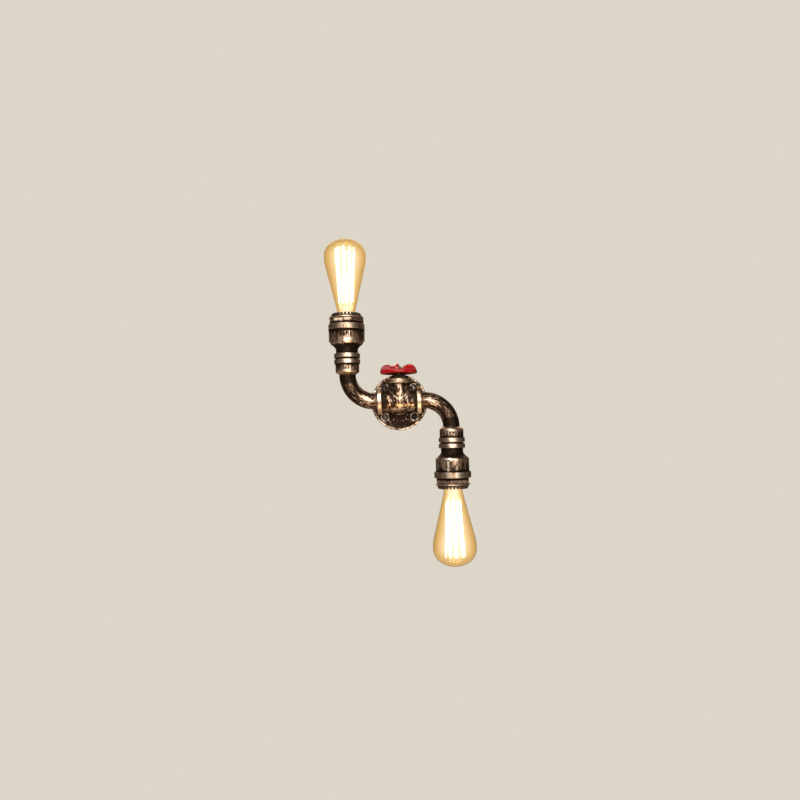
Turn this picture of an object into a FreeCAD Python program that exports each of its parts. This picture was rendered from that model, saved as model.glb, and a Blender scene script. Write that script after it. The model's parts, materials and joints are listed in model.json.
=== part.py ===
# Wall sconce of pipe fittings. A tee stands off the wall on a nipple and a round flange.
# A valve wheel turns on the tee's branch, and an arm swivels in each end of its run.
# Each arm is a long-sweep bend, a reducing socket and a lamp holder with its bulb.
# Millimetres. The wall is the plane y = 0, the front faces -Y and +Z is up.
import FreeCAD, Part
import math
import os

import Sketcher

# Driving sizes, each written once. Diameters and lengths are in millimetres.
SIZES = {
    # Places of the tee and of the lamp axes
    "wall_to_tee": 55.0,
    "tee_to_lamp": 75.7,
    # Pipe thread, drawn as a plain cylinder over its crests
    "thread_diameter": 20.95,
    "thread_gap": 0.05,
    "thread_hold": 13.0,
    "thread_spare": 2.0,
    "pipe_bore": 16.0,
    "edge_break": 0.8,
    # Wall flange
    "flange_diameter": 86.4,
    "flange_plate": 4.0,
    "flange_rim_height": 6.0,
    "flange_rim_width": 3.6,
    "flange_hub_diameter": 34.0,
    "flange_hub_height": 18.0,
    "flange_hub_draft": 1.2,
    "flange_floor": 5.0,
    "screw_circle": 63.6,
    "screw_hole": 10.4,
    "screw_count": 4,
    # Tee, and the bead that every small pipe end carries
    "tee_run_reach": 32.5,
    "tee_branch_reach": 32.2,
    "tee_back_reach": 28.0,
    "tee_barrel_diameter": 33.0,
    "tee_bead_diameter": 40.2,
    "tee_waterway": 19.0,
    "bead_diameter": 38.5,
    "bead_width": 7.0,
    # Closed-end connectors, side by side on the floor of the tee's run
    "connector_diameter": 6.0,
    "connector_length": 12.0,
    "connector_gap": 0.3,
    "connector_seat_gap": 0.05,
    # Valve bonnet, gland and spindle
    "bonnet_flats": 25.0,
    "bonnet_height": 4.0,
    "bonnet_shank": 12.0,
    "gland_diameter": 13.0,
    "gland_depth": 12.0,
    "packing_height": 6.0,
    "packing_gap": 0.06,
    "gland_nut_flats": 17.0,
    "gland_nut_height": 3.0,
    "spindle_diameter": 7.0,
    "spindle_gap": 0.06,
    "collar_diameter": 12.0,
    "collar_height": 2.7,
    "collar_play": 0.4,
    "square_flats": 5.6,
    "square_gap": 0.06,
    "square_inset": 0.5,
    # Handwheel with its washer and screw
    "wheel_play": 0.8,
    "wheel_diameter": 55.0,
    "wheel_height": 13.2,
    "wheel_shoulder": 9.4,
    "wheel_rim_width": 9.0,
    "wheel_rim_height": 5.4,
    "wheel_rim_round": 2.2,
    "wheel_web": 2.4,
    "wheel_recess": 1.2,
    "wheel_hub_diameter": 15.0,
    "wheel_hub_height": 7.5,
    "wheel_lobes": 5,
    "wheel_turn": -23.0,
    "wheel_foot_round": 2.0,
    "finger_radius": 18.0,
    "finger_depth": 1.2,
    "spoke_width": 4.8,
    "spoke_crest_radius": 2.5,
    "spoke_inner_reach": 8.6,
    "spoke_slope": 4.5,
    "window_edge": 1.6,
    "window_half_angle": 20.0,
    "washer_diameter": 11.0,
    "washer_height": 1.0,
    "wheel_screw_diameter": 4.0,
    "wheel_screw_gap": 0.05,
    "wheel_screw_reach": 7.0,
    "wheel_screw_head": 8.4,
    "wheel_screw_head_height": 2.2,
    "wheel_screw_slot": 1.1,
    # Bend
    "bend_radius": 40.0,
    "bend_diameter": 24.3,
    "bend_barrel_diameter": 35.0,
    "bend_barrel_length": 16.0,
    "bend_taper": 4.0,
    "swivel_gap": 0.2,
    # Reducing socket
    "joint_gap": 1.7,
    "nipple_shoulder_diameter": 34.0,
    "neck_diameter": 32.6,
    "neck_length": 6.4,
    "flare_length": 8.8,
    "flare_sweep": 16.0,
    "bell_diameter": 49.0,
    "bell_corner": 2.4,
    "bell_corner_radius": 5.0,
    "bell_length": 18.9,
    "bell_bead_diameter": 54.0,
    "bell_bead_width": 9.2,
    "bell_thread_diameter": 38.0,
    "bell_bore_depth": 30.5,
    "rib_width": 5.2,
    "rib_height": 2.0,
    "rib_count": 2,
    # Hexagon bushing, lip ring and castellated ring
    "hex_flats": 45.0,
    "hex_height": 7.4,
    "hex_crown_diameter": 48.6,
    "hex_crown_drop": 1.4,
    "bushing_shank": 19.0,
    "lip_diameter": 51.0,
    "lip_height": 3.4,
    "lip_foot_diameter": 41.0,
    "lip_foot_height": 0.8,
    "shade_diameter": 47.2,
    "shade_height": 5.2,
    "shade_taper": 1.9,
    "shade_floor": 1.8,
    "shade_wall": 3.0,
    "tooth_count": 26,
    "tooth_gap": 2.6,
    "tooth_height": 4.0,
    # Lamp holder
    "holder_diameter": 31.6,
    "holder_gap": 0.1,
    "holder_inset": 1.6,
    "holder_shoulder_diameter": 35.6,
    "holder_shoulder_height": 2.5,
    "holder_base_diameter": 27.0,
    "holder_base_height": 6.0,
    "holder_floor": 11.5,
    "shell_diameter": 27.7,
    "shell_wall": 0.5,
    "shell_inset": 1.5,
    "shell_gap": 0.05,
    "contact_diameter": 10.0,
    "contact_height": 2.0,
    "rivet_diameter": 3.0,
    "rivet_head_diameter": 5.6,
    "rivet_head_height": 1.0,
    "rivet_gap": 0.05,
    "terminal_spacing": 16.0,
    "terminal_diameter": 3.0,
    "terminal_depth": 6.0,
    "terminal_head_diameter": 5.2,
    "terminal_head_height": 2.0,
    "lead_diameter": 2.2,
    "lead_spacing": 10.4,
    "lead_tee_gap": 1.0,
    "lead_end_gap": 0.2,
    # Bulb cap
    "cap_length": 26.0,
    "cap_diameter": 26.2,
    "cap_wall": 0.5,
    "cap_cone": 2.0,
    "cap_mouth_diameter": 18.0,
    "cap_insulator_drop": 1.3,
    "cap_fill_gap": 0.1,
    "cap_contact_drop": 2.0,
    "cap_contact_diameter": 7.6,
    # Bulb glass
    "bulb_length": 143.2,
    "bulb_diameter": 64.0,
    "bulb_crown_radius": 38.0,
    "bulb_shoulder_radius": 24.0,
    "bulb_side_radius": 70.0,
    "bulb_taper": 14.0,
    "bulb_neck_diameter": 27.2,
    "bulb_neck_sweep": 60.0,
    "bulb_neck_rise": 1.2,
    "bulb_seat_depth": 6.0,
    "glass_wall": 0.9,
    # Glass stem
    "stem_diameter": 9.0,
    "stem_bore": 6.6,
    "stem_flare_height": 1.2,
    "stem_flare_rise": 2.2,
    "stem_height": 24.5,
    "stem_pinch": 4.0,
    "rod_diameter": 2.8,
    "button_diameter": 6.0,
    "button_height": 2.4,
    # Filament cage
    "cage_headroom": 15.2,
    "cage_rise": 29.0,
    "cage_top_diameter": 28.0,
    "cage_foot_diameter": 21.0,
    "hook_count": 9,
    "hook_diameter": 0.5,
    "hook_gap": 0.05,
    "strand_diameter": 0.5,
    "strand_gap": 0.15,
    "strand_turn_diameter": 0.7,
    "strand_turn_width": 0.9,
    "strand_end_angle": 9.0,
    "lead_in_diameter": 0.7,
    "lead_in_spacing": 3.6,
    "lead_in_post_spacing": 7.2,
    "lead_in_gap": 0.15,
}

SIDES = (-1, 1)
SIDE_NAMES = {-1: "left", 1: "right"}
# Turn of each side's bell ribs and hexagon about the lamp axis, in degrees
RIB_TURN = {-1: 0.0, 1: -72.0}
HEX_TURN = {-1: -10.0, 1: -21.0}
# Turn of the filament cage, so that its near and far strands don't hide each other from the front
CAGE_TURN = 5.0

UP = FreeCAD.Vector(0, 0, 1)
ALONG_X = FreeCAD.Vector(1, 0, 0)
ALONG_Y = FreeCAD.Vector(0, 1, 0)

document = FreeCAD.newDocument("wall_sconce")
sheet = document.addObject("Spreadsheet::Sheet", "Sizes")
for row, (size_name, size_value) in enumerate(SIZES.items(), start=1):
    sheet.set(f"A{row}", size_name)
    sheet.set(f"B{row}", str(size_value))
    sheet.setAlias(f"B{row}", size_name)
document.recompute()


class Size:
    """A cell of the sheet or a sum of cells: its present value, and the expression that binds it."""

    def __init__(self, value, text):
        self.value = value
        self.text = text

    def __add__(self, other):
        other = as_size(other)
        return Size(self.value + other.value, f"({self.text} + {other.text})")

    def __radd__(self, other):
        return as_size(other) + self

    def __sub__(self, other):
        other = as_size(other)
        return Size(self.value - other.value, f"({self.text} - {other.text})")

    def __rsub__(self, other):
        return as_size(other) - self

    def __mul__(self, other):
        other = as_size(other)
        return Size(self.value * other.value, f"({self.text} * {other.text})")

    def __rmul__(self, other):
        return as_size(other) * self

    def __truediv__(self, other):
        other = as_size(other)
        return Size(self.value / other.value, f"({self.text} / {other.text})")

    def __neg__(self):
        return Size(-self.value, f"(0 - {self.text})")


def as_size(number):
    """A plain number as a Size, so that both can stand in one sum."""
    if isinstance(number, Size):
        return number
    return Size(float(number), f"({float(number)!r})")


def cosine(degrees):
    degrees = as_size(degrees)
    return Size(math.cos(math.radians(degrees.value)), f"cos({degrees.text})")


def sine(degrees):
    degrees = as_size(degrees)
    return Size(math.sin(math.radians(degrees.value)), f"sin({degrees.text})")


def root(size):
    return Size(math.sqrt(size.value), f"sqrt({size.text})")


class Cells:
    """The sheet's cells by name, as Sizes."""

    def __getattr__(self, name):
        return Size(float(sheet.get(name)), f"Sizes.{name}")


cell = Cells()


def bind(target, path, size):
    """Sets a property of an object from the sheet and keeps it bound."""
    target.setExpression(path, as_size(size).text)


def new_body(label):
    """A sub-part, whose Label names its file. It may hold several separate solids."""
    body = document.addObject("PartDesign::Body", "Body_" + label)
    body.Label = label
    body.AllowCompound = True
    return body


def origin_feature(body, role):
    for feature in body.Origin.OriginFeatures:
        if feature.Role == role:
            return feature
    raise ValueError(f"{body.Label} has no {role}")


def new_sketch(body, role, lift=None):
    """A sketch on one of the body's origin planes, or lifted off it along its normal."""
    sketch = body.newObject("Sketcher::SketchObject", "Sketch_" + body.Label)
    sketch.AttachmentSupport = [(origin_feature(body, role), "")]
    sketch.MapMode = "FlatFace"
    if lift is not None:
        bind(sketch, "AttachmentOffset.Base.z", lift)
    return sketch


def fix_point(sketch, curve, point, x, y):
    """Holds a point of a curve at (x, y) from the sketch's origin, bound to the sheet."""
    for kind, axis, size in (("DistanceX", -2, x), ("DistanceY", -1, y)):
        if isinstance(size, Size) and abs(size.value) > 1e-9:
            number = sketch.addConstraint(
                Sketcher.Constraint(kind, -1, 1, curve, point, size.value))
            bind(sketch, f"Constraints[{number}]", size)
        else:
            sketch.addConstraint(Sketcher.Constraint("PointOnObject", curve, point, axis))


def bind_radius(sketch, curve, radius):
    number = sketch.addConstraint(Sketcher.Constraint("Radius", curve, radius.value))
    bind(sketch, f"Constraints[{number}]", radius)


def arc_between(start, end, radius):
    """The short arc from start to end, counterclockwise for a positive radius."""
    chord = end - start
    half = chord.Length / 2
    reach = math.sqrt(max(radius * radius - half * half, 0.0))
    side = FreeCAD.Vector(-chord.y, chord.x, 0).normalize()
    if radius < 0:
        side = -side
    centre = (start + end) / 2 + side * reach
    first, last = (start, end) if radius > 0 else (end, start)
    angles = [math.atan2(point.y - centre.y, point.x - centre.x) for point in (first, last)]
    return Part.ArcOfCircle(Part.Circle(centre, UP, abs(radius)), angles[0], angles[1])


def draw_outline(sketch, corners, closed=True):
    """Lines and arcs through the corners. A corner (x, y) starts a line to the next one,
    and (x, y, radius) an arc to it, counterclockwise for a positive radius."""
    places = [FreeCAD.Vector(as_size(corner[0]).value, as_size(corner[1]).value, 0)
              for corner in corners]
    count = len(corners)
    runs = count if closed else count - 1
    ends = []
    for index in range(runs):
        start = places[index]
        end = places[(index + 1) % count]
        if len(corners[index]) == 2:
            curve = sketch.addGeometry(Part.LineSegment(start, end), False)
            ends.append((curve, 1, 2))
            continue
        radius = as_size(corners[index][2])
        curve = sketch.addGeometry(arc_between(start, end, radius.value), False)
        ends.append((curve, 1, 2) if radius.value > 0 else (curve, 2, 1))
        bind_radius(sketch, curve, radius if radius.value > 0 else -radius)
    for index in range(runs):
        curve, first, last = ends[index]
        if index + 1 < runs or closed:
            following = ends[(index + 1) % runs]
            sketch.addConstraint(
                Sketcher.Constraint("Coincident", curve, last, following[0], following[1]))
        fix_point(sketch, curve, first, corners[index][0], corners[index][1])
    if not closed:
        fix_point(sketch, ends[-1][0], ends[-1][2], corners[-1][0], corners[-1][1])


def draw_circle(sketch, x, y, radius):
    centre = FreeCAD.Vector(as_size(x).value, as_size(y).value, 0)
    curve = sketch.addGeometry(Part.Circle(centre, UP, radius.value), False)
    fix_point(sketch, curve, 3, x, y)
    bind_radius(sketch, curve, radius)


def turn(body, corners, role="XZ_Plane", axis="V_Axis", cut=False):
    """Revolves an outline a full turn about an axis of its sketch, to add or to cut."""
    sketch = new_sketch(body, role)
    draw_outline(sketch, corners)
    kind = "PartDesign::Groove" if cut else "PartDesign::Revolution"
    feature = body.newObject(kind, kind.split("::")[1] + "_" + body.Label)
    feature.Profile = sketch
    feature.ReferenceAxis = (sketch, [axis])
    feature.Angle = 360
    return feature


def pad(body, sketch, length, downwards=False):
    feature = body.newObject("PartDesign::Pad", "Pad_" + body.Label)
    feature.Profile = sketch
    bind(feature, "Length", length)
    feature.Reversed = downwards
    return feature


def pocket(body, sketch, length, upwards=False):
    feature = body.newObject("PartDesign::Pocket", "Pocket_" + body.Label)
    feature.Profile = sketch
    bind(feature, "Length", length)
    feature.Reversed = upwards
    return feature


def repeat_round(body, features, count, axis="Z_Axis"):
    """Repeats features evenly about one of the body's axes."""
    pattern = body.newObject("PartDesign::PolarPattern", "Round_" + body.Label)
    pattern.Originals = features
    pattern.Axis = (origin_feature(body, axis), [""])
    pattern.Angle = 360
    bind(pattern, "Occurrences", count)
    body.Tip = pattern
    return pattern


def mirror(body, features, role):
    copy = body.newObject("PartDesign::Mirrored", "Mirror_" + body.Label)
    copy.Originals = features
    copy.MirrorPlane = (origin_feature(body, role), [""])
    body.Tip = copy
    return copy


def follow_path(body, section, path, edges, cut=False):
    """Sweeps a section along the first edges of a path sketch, to add or to cut."""
    kind = "PartDesign::SubtractivePipe" if cut else "PartDesign::AdditivePipe"
    feature = body.newObject(kind, "Sweep_" + body.Label)
    feature.Profile = section
    feature.Spine = (path, [f"Edge{number}" for number in range(1, edges + 1)])
    return feature


def polygon(count, flats, turn_by=0.0):
    """The corners of a regular polygon, given the width across its flats."""
    radius = flats / (2 * math.cos(math.pi / count))
    return [polar(radius, turn_by + 360.0 * number / count) for number in range(count)]


def polar(radius, degrees):
    """A point at a radius and an angle, with a clean zero on the axes."""
    degrees = as_size(degrees)
    x = radius * cosine(degrees)
    y = radius * sine(degrees)
    return (x if abs(x.value) > 1e-9 else 0, y if abs(y.value) > 1e-9 else 0)


def place(body, x=0, y=0, z=0, rotation=None):
    """Puts a sub-part at its place in the object, bound to the sheet."""
    body.Placement = FreeCAD.Placement(FreeCAD.Vector(), rotation or FreeCAD.Rotation())
    for path, size in (("x", x), ("y", y), ("z", z)):
        if isinstance(size, Size):
            bind(body, f"Placement.Base.{path}", size)


# Half sizes and levels that several pieces share
thread_radius = cell.thread_diameter / 2
socket_radius = thread_radius + cell.thread_gap
socket_depth = cell.thread_hold + cell.thread_spare
bore_radius = cell.pipe_bore / 2
bead_radius = cell.bead_diameter / 2
tee_barrel_radius = cell.tee_barrel_diameter / 2
tee_depth = -cell.wall_to_tee

# Levels above the tee, of the valve
bonnet_top = cell.tee_branch_reach + cell.bonnet_height
gland_nut_top = bonnet_top + cell.gland_nut_height
wheel_level = gland_nut_top + cell.wheel_play
hub_top = wheel_level + cell.wheel_hub_height
washer_top = hub_top + cell.washer_height

# Levels along the lamp axis, from the tee's own level
bend_top = cell.bend_radius + cell.bend_barrel_length + cell.bead_width
reducer_foot = bend_top + cell.joint_gap
reducer_bead_top = reducer_foot + cell.bead_width
neck_top = reducer_bead_top + cell.neck_length
bell_foot = neck_top + cell.flare_length
bell_end = bell_foot + cell.bell_length
reducer_top = bell_end + cell.bell_bead_width
bell_floor = reducer_top - cell.bell_bore_depth
hex_top = reducer_top + cell.hex_height
bushing_foot = reducer_top - cell.bushing_shank
lip_top = hex_top + cell.lip_height
shade_top = lip_top + cell.shade_height
holder_top = shade_top - cell.holder_inset
holder_base_top = bushing_foot - cell.holder_shoulder_height
holder_foot = holder_base_top - cell.holder_base_height
holder_cavity_floor = holder_foot + cell.holder_floor
contact_top = holder_cavity_floor + cell.contact_height
cap_top = contact_top + cell.cap_length
cap_foot = contact_top + cell.cap_contact_drop
bulb_top = contact_top + cell.bulb_length
glass_foot = cap_top - cell.bulb_seat_depth


def bead(foot, top, radius, at):
    """The corners of a raised band with broken edges, from foot to top. at turns a radius and a
    level into a sketch point."""
    edge = cell.edge_break
    return [at(radius - edge, foot), at(radius, foot + edge),
            at(radius, top - edge), at(radius - edge, top)]


def upright(radius, level):
    return (radius, level)


def lying(radius, level):
    return (level, radius)


def hexagon_head(body, foot, height, flats, crown_radius, crown_drop, turn_by=0.0):
    """A hexagon with its upper corners turned off at the crown."""
    sketch = new_sketch(body, "XY_Plane", foot)
    draw_outline(sketch, polygon(6, flats, turn_by))
    pad(body, sketch, height)
    top = foot + height
    corner = flats / math.sqrt(3.0) + cell.edge_break
    turn(body, [(crown_radius, top), (corner, top), (corner, top - crown_drop)], cut=True)


def build_wall_flange():
    body = new_body("wall_flange")
    outer = cell.flange_diameter / 2
    rim = cell.flange_rim_height
    plate = cell.flange_plate
    rim_inside = outer - cell.flange_rim_width
    hub = cell.flange_hub_diameter / 2
    hub_top_radius = hub - cell.flange_hub_draft
    height = cell.flange_hub_height
    edge = cell.edge_break
    turn(body, [
        (bore_radius, 0), (outer, 0), (outer, rim - edge), (outer - edge, rim),
        (rim_inside + edge, rim), (rim_inside - edge, plate),
        (hub + 3 * edge, plate), (hub, plate + 3 * edge),
        (hub_top_radius, height - edge), (hub_top_radius - edge, height),
        (socket_radius, height), (socket_radius, cell.flange_floor),
        (bore_radius, cell.flange_floor),
    ])
    hole = new_sketch(body, "XY_Plane")
    x, y = polar(cell.screw_circle / 2, 45)
    draw_circle(hole, x, y, cell.screw_hole / 2)
    drill = pocket(body, hole, rim, upwards=True)
    repeat_round(body, [drill], cell.screw_count)
    place(body, rotation=FreeCAD.Rotation(ALONG_X, 90))


def tube(label, outer_radius, inner_radius, foot, top):
    """A short pipe along its own Z, with broken outer edges."""
    body = new_body(label)
    edge = cell.edge_break
    turn(body, [
        (inner_radius, foot), (outer_radius - edge, foot), (outer_radius, foot + edge),
        (outer_radius, top - edge), (outer_radius - edge, top), (inner_radius, top),
    ])
    return body


def build_wall_nipple():
    end = cell.wall_to_tee - cell.tee_back_reach + cell.thread_hold
    body = tube("wall_nipple", thread_radius, bore_radius, cell.flange_floor, end)
    place(body, rotation=FreeCAD.Rotation(ALONG_X, 90))


def outlet(reach, at):
    """Half outline of one outlet of the tee: barrel and bead, from the axis out and back."""
    foot = reach - cell.bead_width
    return ([at(0, 0), at(tee_barrel_radius, 0), at(tee_barrel_radius, foot)]
            + bead(foot, reach, cell.tee_bead_diameter / 2, at) + [at(0, reach)])


def outlet_bore(reach, at):
    """Half outline of the bore of one outlet: waterway, then pipe thread."""
    shoulder = reach - socket_depth
    waterway = cell.tee_waterway / 2
    return [at(0, 0), at(waterway, 0), at(waterway, shoulder),
            at(socket_radius, shoulder), at(socket_radius, reach), at(0, reach)]


def lying_left(radius, level):
    return (-level if isinstance(level, Size) else level, radius)


def build_tee_body():
    """Three barrels of one size cross, so the creases between them run at 45 degrees."""
    body = new_body("tee_body")
    outlets = (
        (cell.tee_run_reach, lying, "XZ_Plane", "H_Axis"),
        (cell.tee_run_reach, lying_left, "XZ_Plane", "H_Axis"),
        (cell.tee_branch_reach, upright, "XZ_Plane", "V_Axis"),
        (cell.tee_back_reach, lying, "YZ_Plane", "H_Axis"),
    )
    for reach, at, role, axis in outlets:
        turn(body, outlet(reach, at), role, axis)
    for reach, at, role, axis in outlets:
        turn(body, outlet_bore(reach, at), role, axis, cut=True)
    place(body, y=tee_depth)


def build_wire_connectors():
    """Two caps that lie along the run, tangent to its floor and clear of each other."""
    body = new_body("wire_connectors")
    radius = cell.connector_diameter / 2
    aside = radius + cell.connector_gap / 2
    reach = cell.tee_waterway / 2 - radius - cell.connector_seat_gap
    sketch = new_sketch(body, "YZ_Plane", -cell.connector_length / 2)
    draw_circle(sketch, aside, -root(reach * reach - aside * aside), radius)
    cap = pad(body, sketch, cell.connector_length)
    mirror(body, [cap], "XZ_Plane")
    place(body, y=tee_depth)


def build_valve_bonnet():
    body = new_body("valve_bonnet")
    foot = cell.tee_branch_reach - cell.bonnet_shank
    seat = cell.tee_branch_reach
    edge = cell.edge_break
    turn(body, [(0, foot), (thread_radius - edge, foot), (thread_radius, foot + edge),
                (thread_radius, seat), (0, seat)])
    corner = cell.bonnet_flats / math.sqrt(3.0)
    hexagon_head(body, seat, cell.bonnet_height, cell.bonnet_flats,
                 corner - 2 * edge, edge, turn_by=8.0)
    gland_radius = cell.gland_diameter / 2
    gland_floor = bonnet_top - cell.gland_depth
    spindle_bore = cell.spindle_diameter / 2 + cell.spindle_gap
    turn(body, [(0, foot), (spindle_bore, foot), (spindle_bore, gland_floor),
                (gland_radius, gland_floor), (gland_radius, bonnet_top), (0, bonnet_top)], cut=True)
    place(body, y=tee_depth)


def build_gland_packing():
    body = new_body("gland_packing")
    inner = cell.spindle_diameter / 2 + cell.spindle_gap
    outer = cell.gland_diameter / 2 - cell.packing_gap
    foot = bonnet_top - cell.gland_depth
    top = foot + cell.packing_height
    turn(body, [(inner, foot), (outer, foot), (outer, top), (inner, top)])
    place(body, y=tee_depth)


def build_gland_nut():
    body = new_body("gland_nut")
    inner = cell.spindle_diameter / 2 + cell.spindle_gap
    shank = cell.gland_diameter / 2 - cell.thread_gap
    foot = bonnet_top - cell.gland_depth + cell.packing_height
    turn(body, [(0, foot), (shank, foot), (shank, bonnet_top), (0, bonnet_top)])
    corner = cell.gland_nut_flats / math.sqrt(3.0)
    hexagon_head(body, bonnet_top, cell.gland_nut_height, cell.gland_nut_flats,
                 corner - cell.edge_break, cell.edge_break / 2, turn_by=20.0)
    turn(body, [(0, foot), (inner, foot), (inner, gland_nut_top), (0, gland_nut_top)], cut=True)
    place(body, y=tee_depth)


def build_valve_spindle():
    """Collar under the bonnet, round shaft through the gland, square for the wheel."""
    body = new_body("valve_spindle")
    shaft = cell.spindle_diameter / 2
    collar = cell.collar_diameter / 2
    collar_top = cell.tee_branch_reach - cell.bonnet_shank - cell.collar_play
    foot = collar_top - cell.collar_height
    top = hub_top - cell.square_inset
    turn(body, [(0, foot), (collar, foot), (collar, collar_top), (shaft, collar_top),
                (shaft, wheel_level), (0, wheel_level)])
    square = new_sketch(body, "XY_Plane", wheel_level)
    draw_outline(square, polygon(4, cell.square_flats, 45.0))
    pad(body, square, top - wheel_level)
    screw = cell.wheel_screw_diameter / 2 + cell.wheel_screw_gap
    depth = cell.wheel_screw_reach + cell.thread_spare
    turn(body, [(0, top), (screw, top), (screw, top - depth), (0, top - depth)], cut=True)
    place(body, y=tee_depth, rotation=FreeCAD.Rotation(UP, SIZES["wheel_turn"]))


def build_handwheel():
    """A casting of hub, web with windows and a low round rim. Grips hollowed into the rim leave
    five lobes, and a raised spoke runs out from near the hub over each of them."""
    body = new_body("handwheel")
    outer = cell.wheel_diameter / 2
    inside = outer - cell.wheel_rim_width
    rim = cell.wheel_rim_height
    rim_round = cell.wheel_rim_round
    hub = cell.wheel_hub_diameter / 2
    recess = cell.wheel_recess
    web = recess + cell.wheel_web
    foot_round = cell.wheel_foot_round
    edge = cell.edge_break
    turn(body, [
        (0, 0), (hub, 0), (hub, recess), (inside, recess), (inside + recess, 0),
        (outer - foot_round, 0, foot_round), (outer, foot_round),
        (outer, rim - rim_round, rim_round), (outer - rim_round, rim),
        (inside + rim_round, rim), (inside, web),
        (hub + edge, web), (hub, web + edge),
        (hub, cell.wheel_hub_height - edge), (hub - edge, cell.wheel_hub_height),
        (0, cell.wheel_hub_height),
    ])
    square = new_sketch(body, "XY_Plane")
    draw_outline(square, polygon(4, cell.square_flats + 2 * cell.square_gap, 45.0))
    pocket(body, square, cell.wheel_hub_height, upwards=True)
    grip = new_sketch(body, "XY_Plane")
    draw_circle(grip, -(outer + cell.finger_radius - cell.finger_depth), 0, cell.finger_radius)
    grip_cut = pocket(body, grip, rim, upwards=True)
    window = new_sketch(body, "XY_Plane")
    near = hub + cell.window_edge
    far = inside - cell.window_edge
    spread = cell.window_half_angle
    start_near = polar(near, 180 + spread)
    end_near = polar(near, 180 - spread)
    start_far = polar(far, 180 - spread)
    end_far = polar(far, 180 + spread)
    draw_outline(window, [
        (start_near[0], start_near[1], -near), end_near,
        (start_far[0], start_far[1], far), end_far])
    window_cut = pocket(body, window, web, upwards=True)
    repeat_round(body, [grip_cut, window_cut], cell.wheel_lobes)
    raised_spokes(body, web)
    place(body, y=tee_depth, z=wheel_level,
          rotation=FreeCAD.Rotation(UP, SIZES["wheel_turn"]))


def raised_spokes(body, foot):
    """The handwheel's spokes: drawn across one lobe, run outwards, sloped down to the hub and
    repeated round, then rounded off together above the rim."""
    height = cell.wheel_height
    half = cell.spoke_width / 2
    crest = cell.spoke_crest_radius
    side_top = height - crest + root(crest * crest - half * half)
    outer = cell.wheel_diameter / 2
    shoulder = cell.wheel_shoulder
    inner = cell.spoke_inner_reach
    edge = cell.edge_break
    section = new_sketch(body, "YZ_Plane", inner)
    draw_outline(section, [(-half, foot - edge), (half, foot - edge), (half, side_top, crest),
                           (-half, side_top)])
    spoke = pad(body, section, root(outer * outer - half * half) - inner)
    slope = new_sketch(body, "XZ_Plane")
    high = inner + cell.spoke_slope
    draw_outline(slope, [(inner - edge, foot + edge), (inner, foot + edge), (high, height),
                         (high, height + edge), (inner - edge, height + edge)])
    slope_cut = pocket(body, slope, cell.spoke_width)
    slope_cut.Midplane = True
    repeat_round(body, [spoke, slope_cut], cell.wheel_lobes)
    turn(body, [(outer - shoulder, height, -shoulder), (outer, height - shoulder),
                (outer + edge, height - shoulder), (outer + edge, height + edge),
                (outer - shoulder, height + edge)], cut=True)


def build_wheel_washer():
    body = new_body("wheel_washer")
    inner = cell.wheel_screw_diameter / 2 + 2 * cell.wheel_screw_gap
    outer = cell.washer_diameter / 2
    turn(body, [(inner, hub_top), (outer, hub_top), (outer, washer_top), (inner, washer_top)])
    place(body, y=tee_depth)


def build_wheel_screw():
    body = new_body("wheel_screw")
    shank = cell.wheel_screw_diameter / 2
    head = cell.wheel_screw_head / 2
    foot = hub_top - cell.square_inset - cell.wheel_screw_reach
    top = washer_top + cell.wheel_screw_head_height
    rounding = cell.wheel_screw_head_height - cell.edge_break
    turn(body, [(0, foot), (shank, foot), (shank, washer_top), (head, washer_top),
                (head, washer_top + cell.edge_break, rounding), (head - rounding, top), (0, top)])
    slot = new_sketch(body, "XY_Plane", top)
    half = cell.wheel_screw_slot / 2
    draw_outline(slot, [(-head, -half), (head, -half), (head, half), (-head, half)])
    pocket(body, slot, cell.wheel_screw_slot)
    place(body, y=tee_depth, rotation=FreeCAD.Rotation(UP, 35))


def place_on_arm(body, side, turned=0.0):
    """Puts a piece drawn on the lamp axis on its arm. The right arm is the left one turned over."""
    half_turn = FreeCAD.Rotation(ALONG_Y, 0 if side < 0 else 180)
    place(body, x=side * cell.tee_to_lamp, y=tee_depth,
          rotation=half_turn * FreeCAD.Rotation(UP, turned))


def build_bend(side):
    """Swept quarter bend: a threaded spigot for the tee and a beaded female end for the lamp."""
    body = new_body(f"{SIDE_NAMES[side]}_bend")
    radius = cell.bend_radius
    face = cell.tee_to_lamp - cell.tee_run_reach
    pipe_end = face - cell.swivel_gap
    spigot_end = face + cell.thread_hold
    edge = cell.edge_break
    path = new_sketch(body, "XZ_Plane")
    draw_outline(path, [(pipe_end, 0), (radius, 0, -radius), (0, radius)], closed=False)
    section = new_sketch(body, "YZ_Plane", pipe_end)
    draw_circle(section, 0, 0, cell.bend_diameter / 2)
    follow_path(body, section, path, 2)
    barrel = cell.bend_barrel_diameter / 2
    bead_foot = radius + cell.bend_barrel_length
    taper_top = radius + cell.bend_taper
    turn(body, [(0, radius), (cell.bend_diameter / 2, radius), (barrel - edge, taper_top - edge),
                (barrel, taper_top + edge), (barrel, bead_foot)]
         + bead(bead_foot, bend_top, bead_radius, upright) + [(0, bend_top)])
    turn(body, [(radius, 0), (radius, thread_radius), (spigot_end - edge, thread_radius),
                (spigot_end, thread_radius - edge), (spigot_end, 0)], axis="H_Axis")
    follow_path(body, bore_section(body, pipe_end), path, 2, cut=True)
    socket_foot = bend_top - socket_depth
    turn(body, [(0, radius), (bore_radius, radius), (bore_radius, socket_foot),
                (socket_radius, socket_foot), (socket_radius, bend_top), (0, bend_top)], cut=True)
    turn(body, [(pipe_end, 0), (pipe_end, bore_radius), (spigot_end, bore_radius),
                (spigot_end, 0)], axis="H_Axis", cut=True)
    place_on_arm(body, side)


def bore_section(body, level):
    section = new_sketch(body, "YZ_Plane", level)
    draw_circle(section, 0, 0, bore_radius)
    return section


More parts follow.
